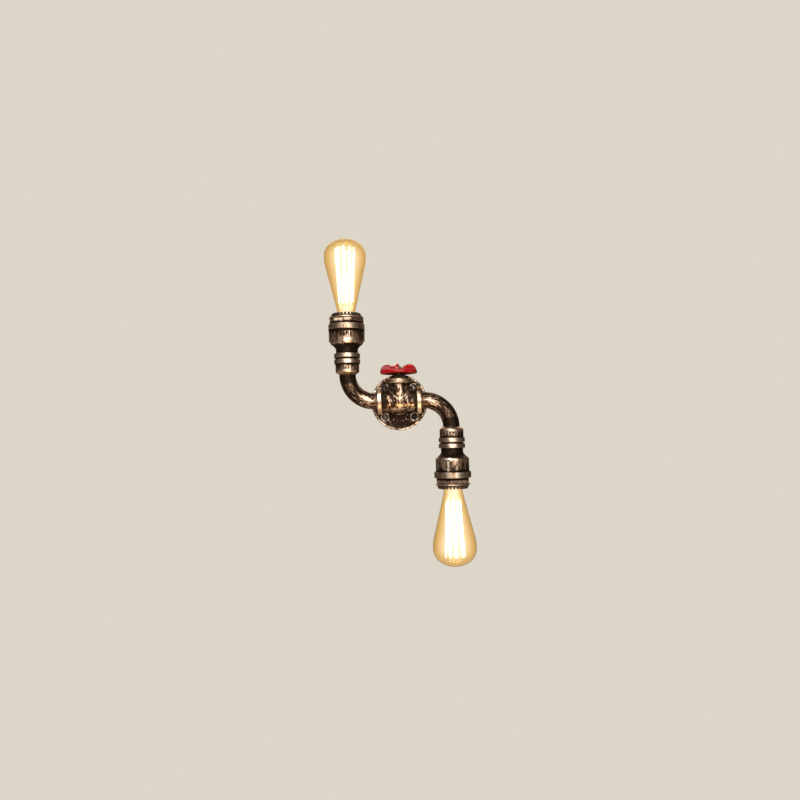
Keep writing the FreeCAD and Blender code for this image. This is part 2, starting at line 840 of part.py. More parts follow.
def build_close_nipple(side):
    """Pipe thread at both ends, and a plain shoulder between that seats both beads."""
    foot = bend_top - cell.thread_hold
    top = reducer_foot + cell.thread_hold
    shoulder = cell.nipple_shoulder_diameter / 2
    body = tube(f"{SIDE_NAMES[side]}_close_nipple", thread_radius, bore_radius, foot, top)
    turn(body, [(bore_radius, bend_top), (shoulder, bend_top), (shoulder, reducer_foot),
                (bore_radius, reducer_foot)])
    place_on_arm(body, side)


def build_reducing_socket(side):
    """Bead, neck, swept flare and bell, with two wrench ribs along the bell."""
    body = new_body(f"{SIDE_NAMES[side]}_reducing_socket")
    neck = cell.neck_diameter / 2
    bell = cell.bell_diameter / 2
    corner = cell.bell_corner
    big_bead = cell.bell_bead_diameter / 2
    turn(body, [(0, reducer_foot)] + bead(reducer_foot, reducer_bead_top, bead_radius, upright)
         + [(neck, reducer_bead_top), (neck, neck_top, -cell.flare_sweep),
            (bell - corner, bell_foot - corner, cell.bell_corner_radius),
            (bell, bell_foot + corner), (bell, bell_end)]
         + bead(bell_end, reducer_top, big_bead, upright) + [(0, reducer_top)])
    rib = new_sketch(body, "XY_Plane", bell_foot + corner)
    half = cell.rib_width / 2
    root_radius = bell - 2 * cell.rib_height
    face = bell + cell.rib_height
    draw_outline(rib, [(root_radius, -half), (face - half / 2, -half), (face, -half / 2),
                       (face, half / 2), (face - half / 2, half), (root_radius, half)])
    first_rib = pad(body, rib, bell_end - bell_foot - corner)
    repeat_round(body, [first_rib], cell.rib_count)
    small_end = reducer_foot + socket_depth
    thread = cell.bell_thread_diameter / 2 + cell.thread_gap
    turn(body, [(0, reducer_foot), (socket_radius, reducer_foot), (socket_radius, small_end),
                (bore_radius, small_end), (bore_radius, bell_floor), (thread, bell_floor),
                (thread, reducer_top), (0, reducer_top)], cut=True)
    place_on_arm(body, side, RIB_TURN[side])


def build_hex_bushing(side):
    body = new_body(f"{SIDE_NAMES[side]}_hex_bushing")
    thread = cell.bell_thread_diameter / 2
    edge = cell.edge_break
    turn(body, [(0, bushing_foot), (thread - edge, bushing_foot), (thread, bushing_foot + edge),
                (thread, reducer_top), (0, reducer_top)])
    hexagon_head(body, reducer_top, cell.hex_height, cell.hex_flats,
                 cell.hex_crown_diameter / 2, cell.hex_crown_drop)
    hole = cell.holder_diameter / 2 + cell.holder_gap
    turn(body, [(0, bushing_foot), (hole, bushing_foot), (hole, hex_top), (0, hex_top)], cut=True)
    place_on_arm(body, side, HEX_TURN[side])


def build_lip_ring(side):
    """A spun ring: a small foot on the hexagon and a wide bright lip."""
    body = new_body(f"{SIDE_NAMES[side]}_lip_ring")
    hole = cell.holder_diameter / 2 + cell.holder_gap
    foot = cell.lip_foot_diameter / 2
    outer = cell.lip_diameter / 2
    edge = cell.edge_break
    lip_foot = hex_top + cell.lip_foot_height
    turn(body, [(hole, hex_top), (foot, hex_top), (foot + edge, lip_foot), (outer - edge, lip_foot),
                (outer, lip_foot + edge), (outer, lip_top - edge), (outer - 3 * edge, lip_top),
                (hole, lip_top)])
    place_on_arm(body, side)


def build_shade_ring(side):
    """A threaded ring with a low crown of teeth."""
    body = new_body(f"{SIDE_NAMES[side]}_shade_ring")
    hole = cell.holder_diameter / 2 + cell.thread_gap
    outer = cell.shade_diameter / 2
    edge = cell.edge_break
    crown = outer - cell.shade_taper - cell.shade_wall
    floor = lip_top + cell.shade_floor
    mouth = outer - cell.shade_taper
    turn(body, [(hole, lip_top), (outer - edge, lip_top), (outer, lip_top + edge),
                (mouth, shade_top - edge), (mouth - edge, shade_top), (crown, shade_top),
                (crown, floor), (hole, floor)])
    gap = new_sketch(body, "XY_Plane", shade_top)
    half = cell.tooth_gap / 2
    draw_outline(gap, [(crown - edge, -half), (outer + edge, -half),
                       (outer + edge, half), (crown - edge, half)])
    cut = pocket(body, gap, cell.tooth_height)
    repeat_round(body, [cut], cell.tooth_count)
    place_on_arm(body, side)


def build_holder_body(side):
    """Insulator of the lamp holder: base, shoulder under the bushing, threaded barrel."""
    body = new_body(f"{SIDE_NAMES[side]}_holder_body")
    barrel = cell.holder_diameter / 2
    shoulder = cell.holder_shoulder_diameter / 2
    base = cell.holder_base_diameter / 2
    cavity = cell.shell_diameter / 2 + cell.shell_gap
    rivet = cell.rivet_diameter / 2 + cell.rivet_gap
    turn(body, [(rivet, holder_foot), (base, holder_foot), (base, holder_base_top),
                (shoulder, holder_base_top), (shoulder, bushing_foot), (barrel, bushing_foot),
                (barrel, holder_top), (cavity, holder_top), (cavity, holder_cavity_floor),
                (rivet, holder_cavity_floor)])
    hole = new_sketch(body, "XY_Plane", holder_foot)
    draw_circle(hole, 0, cell.terminal_spacing / 2, cell.terminal_diameter / 2 + cell.rivet_gap)
    drill = pocket(body, hole, cell.terminal_depth + cell.edge_break, upwards=True)
    repeat_round(body, [drill], as_size(2))
    place_on_arm(body, side)


def build_screw_shell(side):
    body = new_body(f"{SIDE_NAMES[side]}_screw_shell")
    outer = cell.shell_diameter / 2
    inner = outer - cell.shell_wall
    mouth = cell.contact_diameter / 2 + 3 * cell.shell_wall
    floor = holder_cavity_floor
    top = holder_top - cell.shell_inset
    turn(body, [(mouth, floor), (outer, floor), (outer, top), (inner, top),
                (inner, floor + cell.shell_wall), (mouth, floor + cell.shell_wall)])
    place_on_arm(body, side)


def build_centre_contact(side):
    """Contact disc on the holder's floor, with the rivet that holds it."""
    body = new_body(f"{SIDE_NAMES[side]}_centre_contact")
    rivet = cell.rivet_diameter / 2
    head = cell.rivet_head_diameter / 2
    disc = cell.contact_diameter / 2
    foot = holder_foot - cell.rivet_head_height
    turn(body, [(0, foot), (head, foot), (head, holder_foot), (rivet, holder_foot),
                (rivet, holder_cavity_floor), (disc, holder_cavity_floor),
                (disc, holder_cavity_floor + cell.shell_wall), (rivet, contact_top),
                (0, contact_top)])
    place_on_arm(body, side)


def build_terminal_screws(side):
    body = new_body(f"{SIDE_NAMES[side]}_terminal_screws")
    spot = cell.terminal_spacing / 2
    head = new_sketch(body, "XY_Plane", holder_foot)
    draw_circle(head, 0, spot, cell.terminal_head_diameter / 2)
    head_pad = pad(body, head, cell.terminal_head_height, downwards=True)
    shank = new_sketch(body, "XY_Plane", holder_foot)
    draw_circle(shank, 0, spot, cell.terminal_diameter / 2)
    shank_pad = pad(body, shank, cell.terminal_depth)
    repeat_round(body, [head_pad, shank_pad], as_size(2))
    place_on_arm(body, side)


def build_leads(side):
    """Two insulated wires, from beside the connectors to the terminals under the holder."""
    body = new_body(f"{SIDE_NAMES[side]}_leads")
    radius = cell.bend_radius
    offset = cell.lead_spacing / 2
    top = holder_foot - cell.terminal_head_height - cell.lead_end_gap
    inner_end = cell.tee_to_lamp - cell.connector_length / 2 - cell.lead_tee_gap
    path = new_sketch(body, "XZ_Plane", offset)
    draw_outline(path, [(0, top), (0, radius, radius), (radius, 0), (inner_end, 0)], closed=False)
    section = new_sketch(body, "XY_Plane", top)
    draw_circle(section, 0, -offset, cell.lead_diameter / 2)
    wire = follow_path(body, section, path, 3)
    mirror(body, [wire], "XZ_Plane")
    place_on_arm(body, side)


def build_bulb_cap(side):
    body = new_body(f"{SIDE_NAMES[side]}_bulb_cap")
    outer = cell.cap_diameter / 2
    wall = cell.cap_wall
    cone = cell.cap_cone
    mouth = cell.cap_mouth_diameter / 2
    turn(body, [(mouth, cap_foot), (outer - cone, cap_foot), (outer, cap_foot + cone),
                (outer, cap_top), (outer - wall, cap_top), (outer - wall, cap_foot + cone + wall / 2),
                (outer - cone, cap_foot + wall), (mouth, cap_foot + wall)])
    place_on_arm(body, side)


def build_cap_insulator(side):
    body = new_body(f"{SIDE_NAMES[side]}_cap_insulator")
    mouth = cell.cap_mouth_diameter / 2 - cell.cap_fill_gap
    hole = cell.cap_contact_diameter / 2
    foot = cap_foot - cell.cap_insulator_drop
    top = cap_foot + cell.cap_wall
    turn(body, [(hole, foot), (hole + cell.cap_wall, foot), (mouth, cap_foot), (mouth, top),
                (hole, top)])
    place_on_arm(body, side)


def build_cap_contact(side):
    body = new_body(f"{SIDE_NAMES[side]}_cap_contact")
    outer = cell.cap_contact_diameter / 2 - cell.cap_fill_gap
    shoulder = cap_foot - cell.cap_insulator_drop
    tip = outer - cell.cap_wall * 2
    turn(body, [(0, contact_top), (tip, contact_top), (outer, shoulder), (outer, cap_foot),
                (0, cap_foot)])
    place_on_arm(body, side)


def glass_side(inset):
    """The glass from its tip to its neck, moved inwards by inset: crown, shoulder, long side,
    straight taper and the sweep into the neck. Each arc keeps its centre."""
    crown = cell.bulb_crown_radius
    shoulder = cell.bulb_shoulder_radius
    side = cell.bulb_side_radius
    widest = cell.bulb_diameter / 2
    shoulder_x = widest - shoulder
    centre_gap = crown - shoulder
    lift = root(centre_gap * centre_gap - shoulder_x * shoulder_x)
    crown_z = bulb_top - crown
    widest_z = crown_z + lift
    join_x = shoulder_x / centre_gap
    join_z = lift / centre_gap
    side_x = widest - side
    lean = cell.bulb_taper
    neck = cell.bulb_neck_diameter / 2
    sweep = cell.bulb_neck_sweep
    neck_z = cap_top + cell.bulb_neck_rise
    return [
        (0, bulb_top - inset, -(crown - inset)),
        ((crown - inset) * join_x, crown_z + (crown - inset) * join_z, -(shoulder - inset)),
        (widest - inset, widest_z, -(side - inset)),
        (side_x + (side - inset) * cosine(lean), widest_z - (side - inset) * sine(lean)),
        (neck + sweep - (sweep + inset) * cosine(lean), neck_z + (sweep + inset) * sine(lean),
         sweep + inset),
        (neck - inset, neck_z),
    ]


def build_glass_envelope(side):
    """Tear-drop glass, open at the neck, with its foot inside the cap."""
    body = new_body(f"{SIDE_NAMES[side]}_glass_envelope")
    wall = cell.glass_wall
    foot_radius = cell.cap_diameter / 2 - cell.cap_wall - cell.cap_fill_gap
    turn(body, glass_side(as_size(0))
         + [(foot_radius, cap_top), (foot_radius, glass_foot), (0, glass_foot)])
    inner_foot = foot_radius - wall
    turn(body, glass_side(wall)
         + [(inner_foot, cap_top), (inner_foot, glass_foot), (0, glass_foot)], cut=True)
    place_on_arm(body, side)


def stem_levels():
    """Top of the stem's pinch and the levels of the two buttons on its rod."""
    return glass_foot + cell.stem_height, glass_foot + cell.cage_rise, bulb_top - cell.cage_headroom


def build_glass_stem(side):
    """Flared tube, pinch and a long rod with a button at each end of the cage."""
    body = new_body(f"{SIDE_NAMES[side]}_glass_stem")
    flare = cell.cap_diameter / 2 - cell.cap_wall - cell.glass_wall - 2 * cell.cap_fill_gap
    outer = cell.stem_diameter / 2
    bore = cell.stem_bore / 2
    rod = cell.rod_diameter / 2
    button = cell.button_diameter / 2
    half = cell.button_height / 2
    pinch_top, lower, upper = stem_levels()
    pinch_foot = pinch_top - cell.stem_pinch
    foot = glass_foot
    turn(body, [
        (bore, foot), (flare, foot), (flare, foot + cell.stem_flare_height),
        (outer, foot + cell.stem_flare_height + cell.stem_flare_rise), (outer, pinch_top),
        (rod, pinch_top + half), (rod, lower - half), (button, lower - half),
        (button, lower + half), (rod, lower + half), (rod, upper - half),
        (button, upper - half), (button, upper + half), (0, upper + cell.button_height),
        (0, pinch_foot), (bore, pinch_foot)])
    place_on_arm(body, side)


def rod_between(start, end, diameter):
    """A thin hexagonal rod, for wires too fine for round faces."""
    direction = end - start
    across = direction.cross(ALONG_X if abs(direction.normalize().x) < 0.9 else UP)
    across.normalize()
    corners = []
    for number in range(6):
        spin = FreeCAD.Rotation(direction, 60 * number)
        corners.append(start + spin.multVec(across) * (diameter / 2))
    face = Part.Face(Part.makePolygon(corners + corners[:1]))
    return face.extrude(end - start)


def on_ring(radius, degrees, level):
    angle = math.radians(degrees)
    return FreeCAD.Vector(radius * math.cos(angle), radius * math.sin(angle), level)


def shaped_feature(label, shape):
    feature = document.addObject("Part::Feature", "Shape_" + label)
    feature.Label = label
    feature.Shape = shape
    return feature


def build_filament_supports(side):
    """A star of hooks on each button of the glass rod. The upper star is turned by half a step,
    so that the wire zigzags between the two."""
    start = (cell.button_diameter / 2 + cell.hook_gap).value
    foot_reach = cell.cage_foot_diameter.value / 2
    top_reach = cell.cage_top_diameter.value / 2
    levels = stem_levels()
    count = int(cell.hook_count.value)
    step = 360.0 / count
    hooks = []
    for number in range(count):
        for reach, degrees, level in ((foot_reach, step * number, levels[1].value),
                                      (top_reach, step * (number + 0.5), levels[2].value)):
            hooks.append(rod_between(on_ring(start, degrees, level),
                                     on_ring(reach, degrees, level), cell.hook_diameter.value))
    place_on_arm(shaped_feature(f"{SIDE_NAMES[side]}_filament_supports",
                                Part.makeCompound(hooks)), side, CAGE_TURN)


def cage_ring(diameter):
    """Radius at which the strands pass just outside the ends of the hooks."""
    return (diameter / 2 + cell.strand_turn_diameter / 2 + cell.strand_gap).value


def strand_turn(radius, degrees, level):
    """Where the wire turns back over a hook: the ends of two strands and the bar across them."""
    half = cell.strand_turn_width.value / 2
    overhang = cell.strand_turn_diameter.value / 2
    near = math.degrees(half / radius)
    far = math.degrees((half + overhang) / radius)
    before = on_ring(radius, degrees - near, level)
    after = on_ring(radius, degrees + near, level)
    bar = rod_between(on_ring(radius, degrees - far, level), on_ring(radius, degrees + far, level),
                      cell.strand_turn_diameter.value)
    return before, after, bar


def build_filament(side):
    """One wire up and down between the two stars of hooks, fused from strands and turns."""
    levels = stem_levels()
    top_radius = cage_ring(cell.cage_top_diameter)
    foot_radius = cage_ring(cell.cage_foot_diameter)
    count = int(cell.hook_count.value)
    step = 360.0 / count
    end_angle = cell.strand_end_angle.value
    start = on_ring(foot_radius, end_angle, levels[1].value)
    pieces = []
    for number in range(2 * count - 1):
        if number % 2:
            turn_place = (foot_radius, step * (number + 1) / 2, levels[1].value)
        else:
            turn_place = (top_radius, step * (number + 1) / 2, levels[2].value)
        before, after, bar = strand_turn(*turn_place)
        pieces.append(rod_between(start, before, cell.strand_diameter.value))
        pieces.append(bar)
        start = after
    end = on_ring(foot_radius, 360.0 - end_angle, levels[1].value)
    pieces.append(rod_between(start, end, cell.strand_diameter.value))
    shape = pieces[0].multiFuse(pieces[1:])
    place_on_arm(shaped_feature(f"{SIDE_NAMES[side]}_filament", shape), side, CAGE_TURN)


def build_lead_in_wires(side):
    """Two wires up the stem to its pinch, and from the pinch out to the ends of the filament."""
    pinch_top, lower, upper = stem_levels()
    gap = cell.lead_in_gap.value
    diameter = cell.lead_in_diameter.value
    inner = cell.lead_in_spacing.value / 2
    post = cell.lead_in_post_spacing.value / 2
    start = cap_foot.value + cell.cap_wall.value + gap
    pinch_foot = (pinch_top - cell.stem_pinch).value - gap
    foot_radius = cage_ring(cell.cage_foot_diameter) - cell.strand_diameter.value - gap
    wires = []
    for hand in (-1, 1):
        low = FreeCAD.Vector(0, hand * inner, start)
        high = FreeCAD.Vector(0, hand * inner, pinch_foot)
        wires.append(rod_between(low, high, diameter))
        root_point = FreeCAD.Vector(0, hand * post, pinch_top.value + diameter)
        tip = on_ring(foot_radius, hand * cell.strand_end_angle.value, lower.value - diameter)
        wires.append(rod_between(root_point, tip, diameter))
    place_on_arm(shaped_feature(f"{SIDE_NAMES[side]}_lead_in_wires", Part.makeCompound(wires)),
                 side, CAGE_TURN)


def build_all():
    build_wall_flange()
    build_wall_nipple()
    build_tee_body()
    build_wire_connectors()
    build_valve_bonnet()
    build_gland_packing()
    build_gland_nut()
    build_valve_spindle()
    build_handwheel()
    build_wheel_washer()
    build_wheel_screw()
    for side in SIDES:
        build_bend(side)
        build_close_nipple(side)
        build_reducing_socket(side)
        build_hex_bushing(side)
        build_lip_ring(side)
        build_shade_ring(side)
        build_holder_body(side)
        build_screw_shell(side)
        build_centre_contact(side)
        build_terminal_screws(side)
        build_leads(side)
        build_glass_envelope(side)
        build_glass_stem(side)
        build_filament_supports(side)
        build_filament(side)
        build_lead_in_wires(side)
        build_bulb_cap(side)
        build_cap_insulator(side)
        build_cap_contact(side)


def sub_parts():
    return [item for item in document.Objects
            if item.TypeId in ("PartDesign::Body", "Part::Feature")]


def check_model():
    """Stops before anything is written if an object failed or a cut removed nothing."""
    for item in document.Objects:
        if "Invalid" in item.State or "Error" in item.State:
            raise RuntimeError(f"{item.Label} did not compute: {item.State}")
        if item.TypeId in ("PartDesign::Groove", "PartDesign::Pocket", "PartDesign::SubtractivePipe"):
            if item.Shape.Volume > item.BaseFeature.Shape.Volume - 1e-3:
                raise RuntimeError(f"{item.Label} cuts nothing")
    for item in sub_parts():
        if item.Shape.isNull() or not item.Shape.isValid():
            raise RuntimeError(f"{item.Label} has no valid shape")


build_all()
document.recompute()
check_model()
os.makedirs("parts", exist_ok=True)
for part in sub_parts():
    part.Shape.exportStep(f"parts/{part.Label}.step")
    print(f"{part.Label}: {len(part.Shape.Solids)} solids, {part.Shape.Volume:.1f} mm3")
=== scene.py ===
import json
import math

import bmesh
import bpy
from mathutils import Euler, Matrix, Vector


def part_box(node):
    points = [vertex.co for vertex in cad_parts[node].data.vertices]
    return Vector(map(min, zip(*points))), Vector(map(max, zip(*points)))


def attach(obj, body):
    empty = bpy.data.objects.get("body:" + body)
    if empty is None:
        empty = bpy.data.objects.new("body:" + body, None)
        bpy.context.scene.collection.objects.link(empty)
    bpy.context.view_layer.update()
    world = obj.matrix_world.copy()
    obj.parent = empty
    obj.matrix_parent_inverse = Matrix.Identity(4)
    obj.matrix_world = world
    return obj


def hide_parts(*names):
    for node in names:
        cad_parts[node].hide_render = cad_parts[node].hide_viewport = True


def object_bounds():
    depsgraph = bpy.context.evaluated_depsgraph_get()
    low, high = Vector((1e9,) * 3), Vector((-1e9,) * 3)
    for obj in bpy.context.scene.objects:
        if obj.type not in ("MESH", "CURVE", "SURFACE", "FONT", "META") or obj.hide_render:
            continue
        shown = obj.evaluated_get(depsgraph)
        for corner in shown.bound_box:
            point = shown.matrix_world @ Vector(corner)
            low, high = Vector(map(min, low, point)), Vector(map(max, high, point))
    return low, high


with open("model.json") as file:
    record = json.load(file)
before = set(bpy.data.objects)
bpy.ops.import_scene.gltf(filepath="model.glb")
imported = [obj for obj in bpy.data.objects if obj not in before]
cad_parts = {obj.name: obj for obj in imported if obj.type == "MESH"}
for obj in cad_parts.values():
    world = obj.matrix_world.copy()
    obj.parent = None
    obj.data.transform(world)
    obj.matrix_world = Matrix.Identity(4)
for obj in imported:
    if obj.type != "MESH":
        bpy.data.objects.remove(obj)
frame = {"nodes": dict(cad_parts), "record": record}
cad_low, cad_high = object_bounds()
nodes = frame["nodes"]

MM = 0.001
SIDES = ("left", "right")


def middle(node):
    low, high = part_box(node)
    return (low + high) / 2


TEE = Vector((0.0, middle("valve_spindle").y, 0.0))
LAMP_AXIS = abs(middle("left_lip_ring").x)


def lamp_place(side):
    """Turns a point drawn on an upright lamp axis, measured from the tee, into the row frame.
    The right lamp is the left one turned over about the wall's own direction."""
    axis = middle(f"{side}_lip_ring")
    turned = Matrix.Rotation(0.0 if side == "left" else math.pi, 4, "Y")
    return Matrix.Translation((axis.x, TEE.y, 0.0)) @ turned


def levels_of(node):
    """Lowest and highest level of a left lamp's node above the tee."""
    low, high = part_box(node)
    return low.z, high.z


def add_object(name, data):
    added = bpy.data.objects.new(name, data)
    bpy.context.scene.collection.objects.link(added)
    return added


def declare(piece, body, node=None):
    """The body that a piece rides on and the CAD node that it replaces."""
    if node:
        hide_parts(node)
    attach(piece, body)


# Camera, from the photograph. Distances in metres, angles in degrees.
EYE_DISTANCE = 1.04
EYE_DROP = 0.053
ROLL = 1.45
PIXEL = 1.475 * MM
FRAME_PIXELS = 800
SENSOR = 36.0
AIM = Vector((0.001, 0.0, 0.001))


def add_camera():
    data = bpy.data.cameras.new("camera")
    data.sensor_width = SENSOR
    data.lens = SENSOR * (EYE_DISTANCE / PIXEL) / FRAME_PIXELS
    camera = add_object("camera", data)
    camera.location = TEE + Vector((0, -EYE_DISTANCE, -EYE_DROP))
    facing = (TEE + AIM - camera.location).to_track_quat("-Z", "Y")
    camera.rotation_mode = "QUATERNION"
    camera.rotation_quaternion = facing @ Euler((0, 0, -math.radians(ROLL))).to_quaternion()
    bpy.context.scene.camera = camera
    bpy.context.scene.view_settings.view_transform = "Standard"


class Shader:
    """Writes the nodes of one material or world."""

    def __init__(self, tree):
        self.tree = tree
        self.place = None

    def add(self, kind, inputs=None, **settings):
        node = self.tree.nodes.new("ShaderNode" + kind)
        for name, value in settings.items():
            setattr(node, name, value)
        for name, value in (inputs or {}).items():
            self.put(node.inputs[name], value)
        return node

    def put(self, socket, value):
        if isinstance(value, bpy.types.NodeSocket):
            self.tree.links.new(value, socket)
        elif isinstance(value, tuple) and len(value) == 3 and socket.type == "RGBA":
            socket.default_value = (*value, 1)
        else:
            socket.default_value = value

    def calc(self, operation, first, second=0.0, clamp=False):
        node = self.add("Math", operation=operation, use_clamp=clamp)
        self.put(node.inputs[0], first)
        self.put(node.inputs[1], second)
        return node.outputs[0]

    def total(self, *parts):
        """Sum of (value, share) parts."""
        result = 0.0
        for value, share in parts:
            result = self.calc("ADD", result, self.calc("MULTIPLY", value, share))
        return result

    def product(self, first, *others):
        for value in others:
            first = self.calc("MULTIPLY", first, value)
        return first

    def distance(self, first, second):
        """Length of the line whose two parts are first and second."""
        squares = self.calc("ADD", self.product(first, first), self.product(second, second))
        return self.calc("SQRT", squares)

    def blend_values(self, factor, first, second):
        """first where factor is nought, second where it is one."""
        node = self.add("Mix", data_type="FLOAT", clamp_factor=True)
        for socket, value in zip((node.inputs[0], node.inputs[2], node.inputs[3]),
                                 (factor, first, second)):
            self.put(socket, value)
        return node.outputs[0]

    def blend_colours(self, factor, first, second):
        node = self.add("Mix", data_type="RGBA", clamp_factor=True)
        for socket, value in zip((node.inputs[0], node.inputs[6], node.inputs[7]),
                                 (factor, first, second)):
            self.put(socket, value)
        return node.outputs[2]

    def ramp(self, value, *stops):
        """A colour, or a grey for a plain number, through (position, colour) stops."""
        node = self.add("ValToRGB")
        elements = node.color_ramp.elements
        while len(elements) < len(stops):
            elements.new(0.5)
        for element, (position, colour) in zip(elements, stops):
            element.position = position
            element.color = (*colour, 1) if isinstance(colour, tuple) else (colour,) * 3 + (1,)
        self.put(node.inputs[0], value)
        return node.outputs[0]

    def profile(self, value, reach, *stops):
        """A number that follows value, in metres up to reach, through (millimetres, number) stops."""
        share = self.calc("DIVIDE", value, reach)
        return self.ramp(share, *((place * MM / reach, number) for place, number in stops))

    def rise(self, value, low, high):
        """Nought below low, one above high and smooth between."""
        node = self.add("MapRange", interpolation_type="SMOOTHSTEP")
        for name, number in (("Value", value), ("From Min", low), ("From Max", high),
                             ("To Min", 0.0), ("To Max", 1.0)):
            self.put(node.inputs[name], number)
        return node.outputs[0]

    def where(self):
        """The point on the object at rest, in metres."""
        if self.place is None:
            self.place = self.add("TexCoord").outputs["Object"]
        return self.place

    def part(self, axis):
        """The point's own x, y or z."""
        return self.add("SeparateXYZ", {"Vector": self.where()}).outputs[axis]

    def along(self, axis):
        """Distance from the tee's axis along x or z, whichever side it is on."""
        return self.calc("ABSOLUTE", self.part(axis))

    def from_centre(self):
        """Distance from the flange's axis."""
        flat = self.add("VectorMath", {0: self.where(), 1: (1.0, 0.0, 1.0)}, operation="MULTIPLY")
        length = self.add("VectorMath", {0: flat.outputs[0]}, operation="LENGTH")
        return length.outputs["Value"]

    def grain(self, size, detail=4.0, roughness=0.55, distortion=0.0, stretch=(1.0, 1.0, 1.0),
              place=None):
        """Noise whose patches are about size metres across, longer where stretch is below one."""
        vector = self.add("Mapping", {"Vector": place or self.where(), "Scale": stretch}).outputs[0]
        return self.add("TexNoise", {
            "Vector": vector, "Scale": 1.0 / size, "Detail": detail,
            "Roughness": roughness, "Distortion": distortion}).outputs["Fac"]

    def openness(self, distance):
        """One on a raised place and less in a recess of about that depth."""
        return self.add("AmbientOcclusion", {"Distance": distance}, samples=6,
                        only_local=True).outputs["AO"]

    def rounded(self, radius):
        """The surface's direction, with its edges rounded to that radius."""
        return self.add("Bevel", {"Radius": radius}, samples=4).outputs[0]

    def edges(self, radius):
        """Nought on a flat and higher the more the surface turns within that radius."""
        true = self.add("NewGeometry").outputs["Normal"]
        dot = self.add("VectorMath", {0: self.rounded(radius), 1: true}, operation="DOT_PRODUCT")
        return self.calc("SUBTRACT", 1.0, dot.outputs["Value"], clamp=True)

    def bumps(self, height, strength, distance, under=None):
        inputs = {"Height": height, "Strength": strength, "Distance": distance}
        if under is not None:
            inputs["Normal"] = under
        return self.add("Bump", inputs).outputs[0]

    def surface(self, **values):
        """Sets the Principled shader's own sockets by plain names."""
        names = {
            "base_colour": "Base Color", "metallic": "Metallic", "roughness": "Roughness",
            "normal": "Normal", "ior": "IOR", "coat": "Coat Weight",
            "coat_roughness": "Coat Roughness", "transmission": "Transmission Weight",
            "glow_colour": "Emission Color", "glow": "Emission Strength",
            "mirror": "Specular IOR Level", "mirror_tint": "Specular Tint",
        }
        shader = self.tree.nodes["Principled BSDF"]
        for name, value in values.items():
            self.put(shader.inputs[names[name]], value)


def new_material(name):
    material = bpy.data.materials.new(name)
    material.use_nodes = True
    return Shader(material.node_tree), material


# Studio. Colours are linear, lights in watts, places in metres.
BACKDROP = (0.72, 0.67, 0.58)
SKY_LIGHT = 0.18
SKY_SHEEN = 0.07
FLOOR_DROP = 1.0
FLOOR_WIDTH = 12.0
LAMPS = (
    ("key", (-0.45, -1.4, 1.20), (1.2, 0.7), 22, (1.0, 0.98, 0.95)),
    ("front", (0.15, -1.9, 0.30), (1.8, 1.0), 22, (1.0, 0.98, 0.95)),
    ("under", (0.10, -0.9, -0.95), (0.6, 0.4), 6, (1.0, 0.62, 0.30)),
    ("behind", (0.0, 2.2, 1.6), (3.2, 2.6), 26, (1.0, 0.98, 0.95)),
)


def add_area_lamp(name, place, size, watts, colour):
    data = bpy.data.lights.new(name, "AREA")
    data.shape = "RECTANGLE"
    data.size, data.size_y = size
    data.energy = watts
    data.color = colour
    lamp = add_object(name, data)
    lamp.location = place
    aim = (cad_low + cad_high) / 2 - lamp.location
    lamp.rotation_mode = "QUATERNION"
    lamp.rotation_quaternion = aim.to_track_quat("-Z", "Y")
    lamp.visible_camera = False
    lamp.visible_transmission = False


def seen_directly(shader):
    """One where the camera sees a point, straight or through glass, and nought for other rays."""
    rays = shader.add("LightPath").outputs
    return shader.calc("MAXIMUM", rays["Is Camera Ray"], rays["Is Transmission Ray"])


def add_world():
    world = bpy.data.worlds.new("studio")
    bpy.context.scene.world = world
    world.use_nodes = True
    shader = Shader(world.node_tree)
    background = world.node_tree.nodes["Background"]
    shader.put(background.inputs["Color"], BACKDROP)
    mirrored = shader.add("LightPath").outputs["Is Glossy Ray"]
    unseen = shader.blend_values(mirrored, SKY_LIGHT, SKY_SHEEN)
    shader.put(background.inputs["Strength"], shader.blend_values(seen_directly(shader), unseen, 1.0))


def add_floor():
    """A pale floor well below the object. Seen directly it has the backdrop's colour."""
    half = FLOOR_WIDTH / 2
    level = cad_low.z - FLOOR_DROP
    mesh = bpy.data.meshes.new("floor")
    corners = [(-half, -half, level), (half, -half, level), (half, half, level), (-half, half, level)]
    mesh.from_pydata(corners, [], [(0, 1, 2, 3)])
    floor = add_object("floor", mesh)
    shader, material = new_material("pale_floor")
    shader.surface(base_colour=BACKDROP, roughness=0.9)
    plain = shader.add("Emission", {"Color": BACKDROP}).outputs[0]
    matte = shader.tree.nodes["Principled BSDF"].outputs[0]
    either = shader.add("MixShader", {0: seen_directly(shader), 1: matte, 2: plain}).outputs[0]
    shader.put(shader.tree.nodes["Material Output"].inputs["Surface"], either)
    mesh.materials.append(material)


# Bronze fittings: black patina, dry-brushed with bronze. Colours run from the bare patina to the
# brightest bronze, and strokes are longer along an axis whose number is below one.
BRONZE = (
    (0.0, (0.010, 0.006, 0.004)), (0.26, (0.050, 0.026, 0.016)), (0.50, (0.34, 0.195, 0.120)),
    (0.74, (0.66, 0.49, 0.35)), (1.0, (0.92, 0.77, 0.63)))
WARM_SHINE = (1.0, 0.66, 0.42)
UPRIGHT = (1.0, 1.0, 0.22)
LENGTHWISE = (0.16, 1.0, 1.0)
TEE_STROKES = (1.0, 1.0, 0.35)
SWIRLED = 0.8
RECESS_REACH = 6 * MM
PATCH_SIZE = 9 * MM
STROKE_SIZE = 2.2 * MM
FLECK_SIZE = 0.6 * MM
CASTING_SIZE = 7 * MM
CASTING_DEPTH = 0.8 * MM
EDGE_WIDTH = 0.6 * MM
EDGE_ROUNDING = 0.45 * MM
BARE_EDGE = 0.52
RUB_SHARE = 0.42
BARE_FROM, BARE_BY = 0.67, 0.81
# Bronze share of the pieces that sit in shade under the wheel and between fittings, kept low as
# painted shade
SHADED_RUB = 0.16
BEND_RADIUS = 40 * MM
BELL_RADIUS = 24.5 * MM
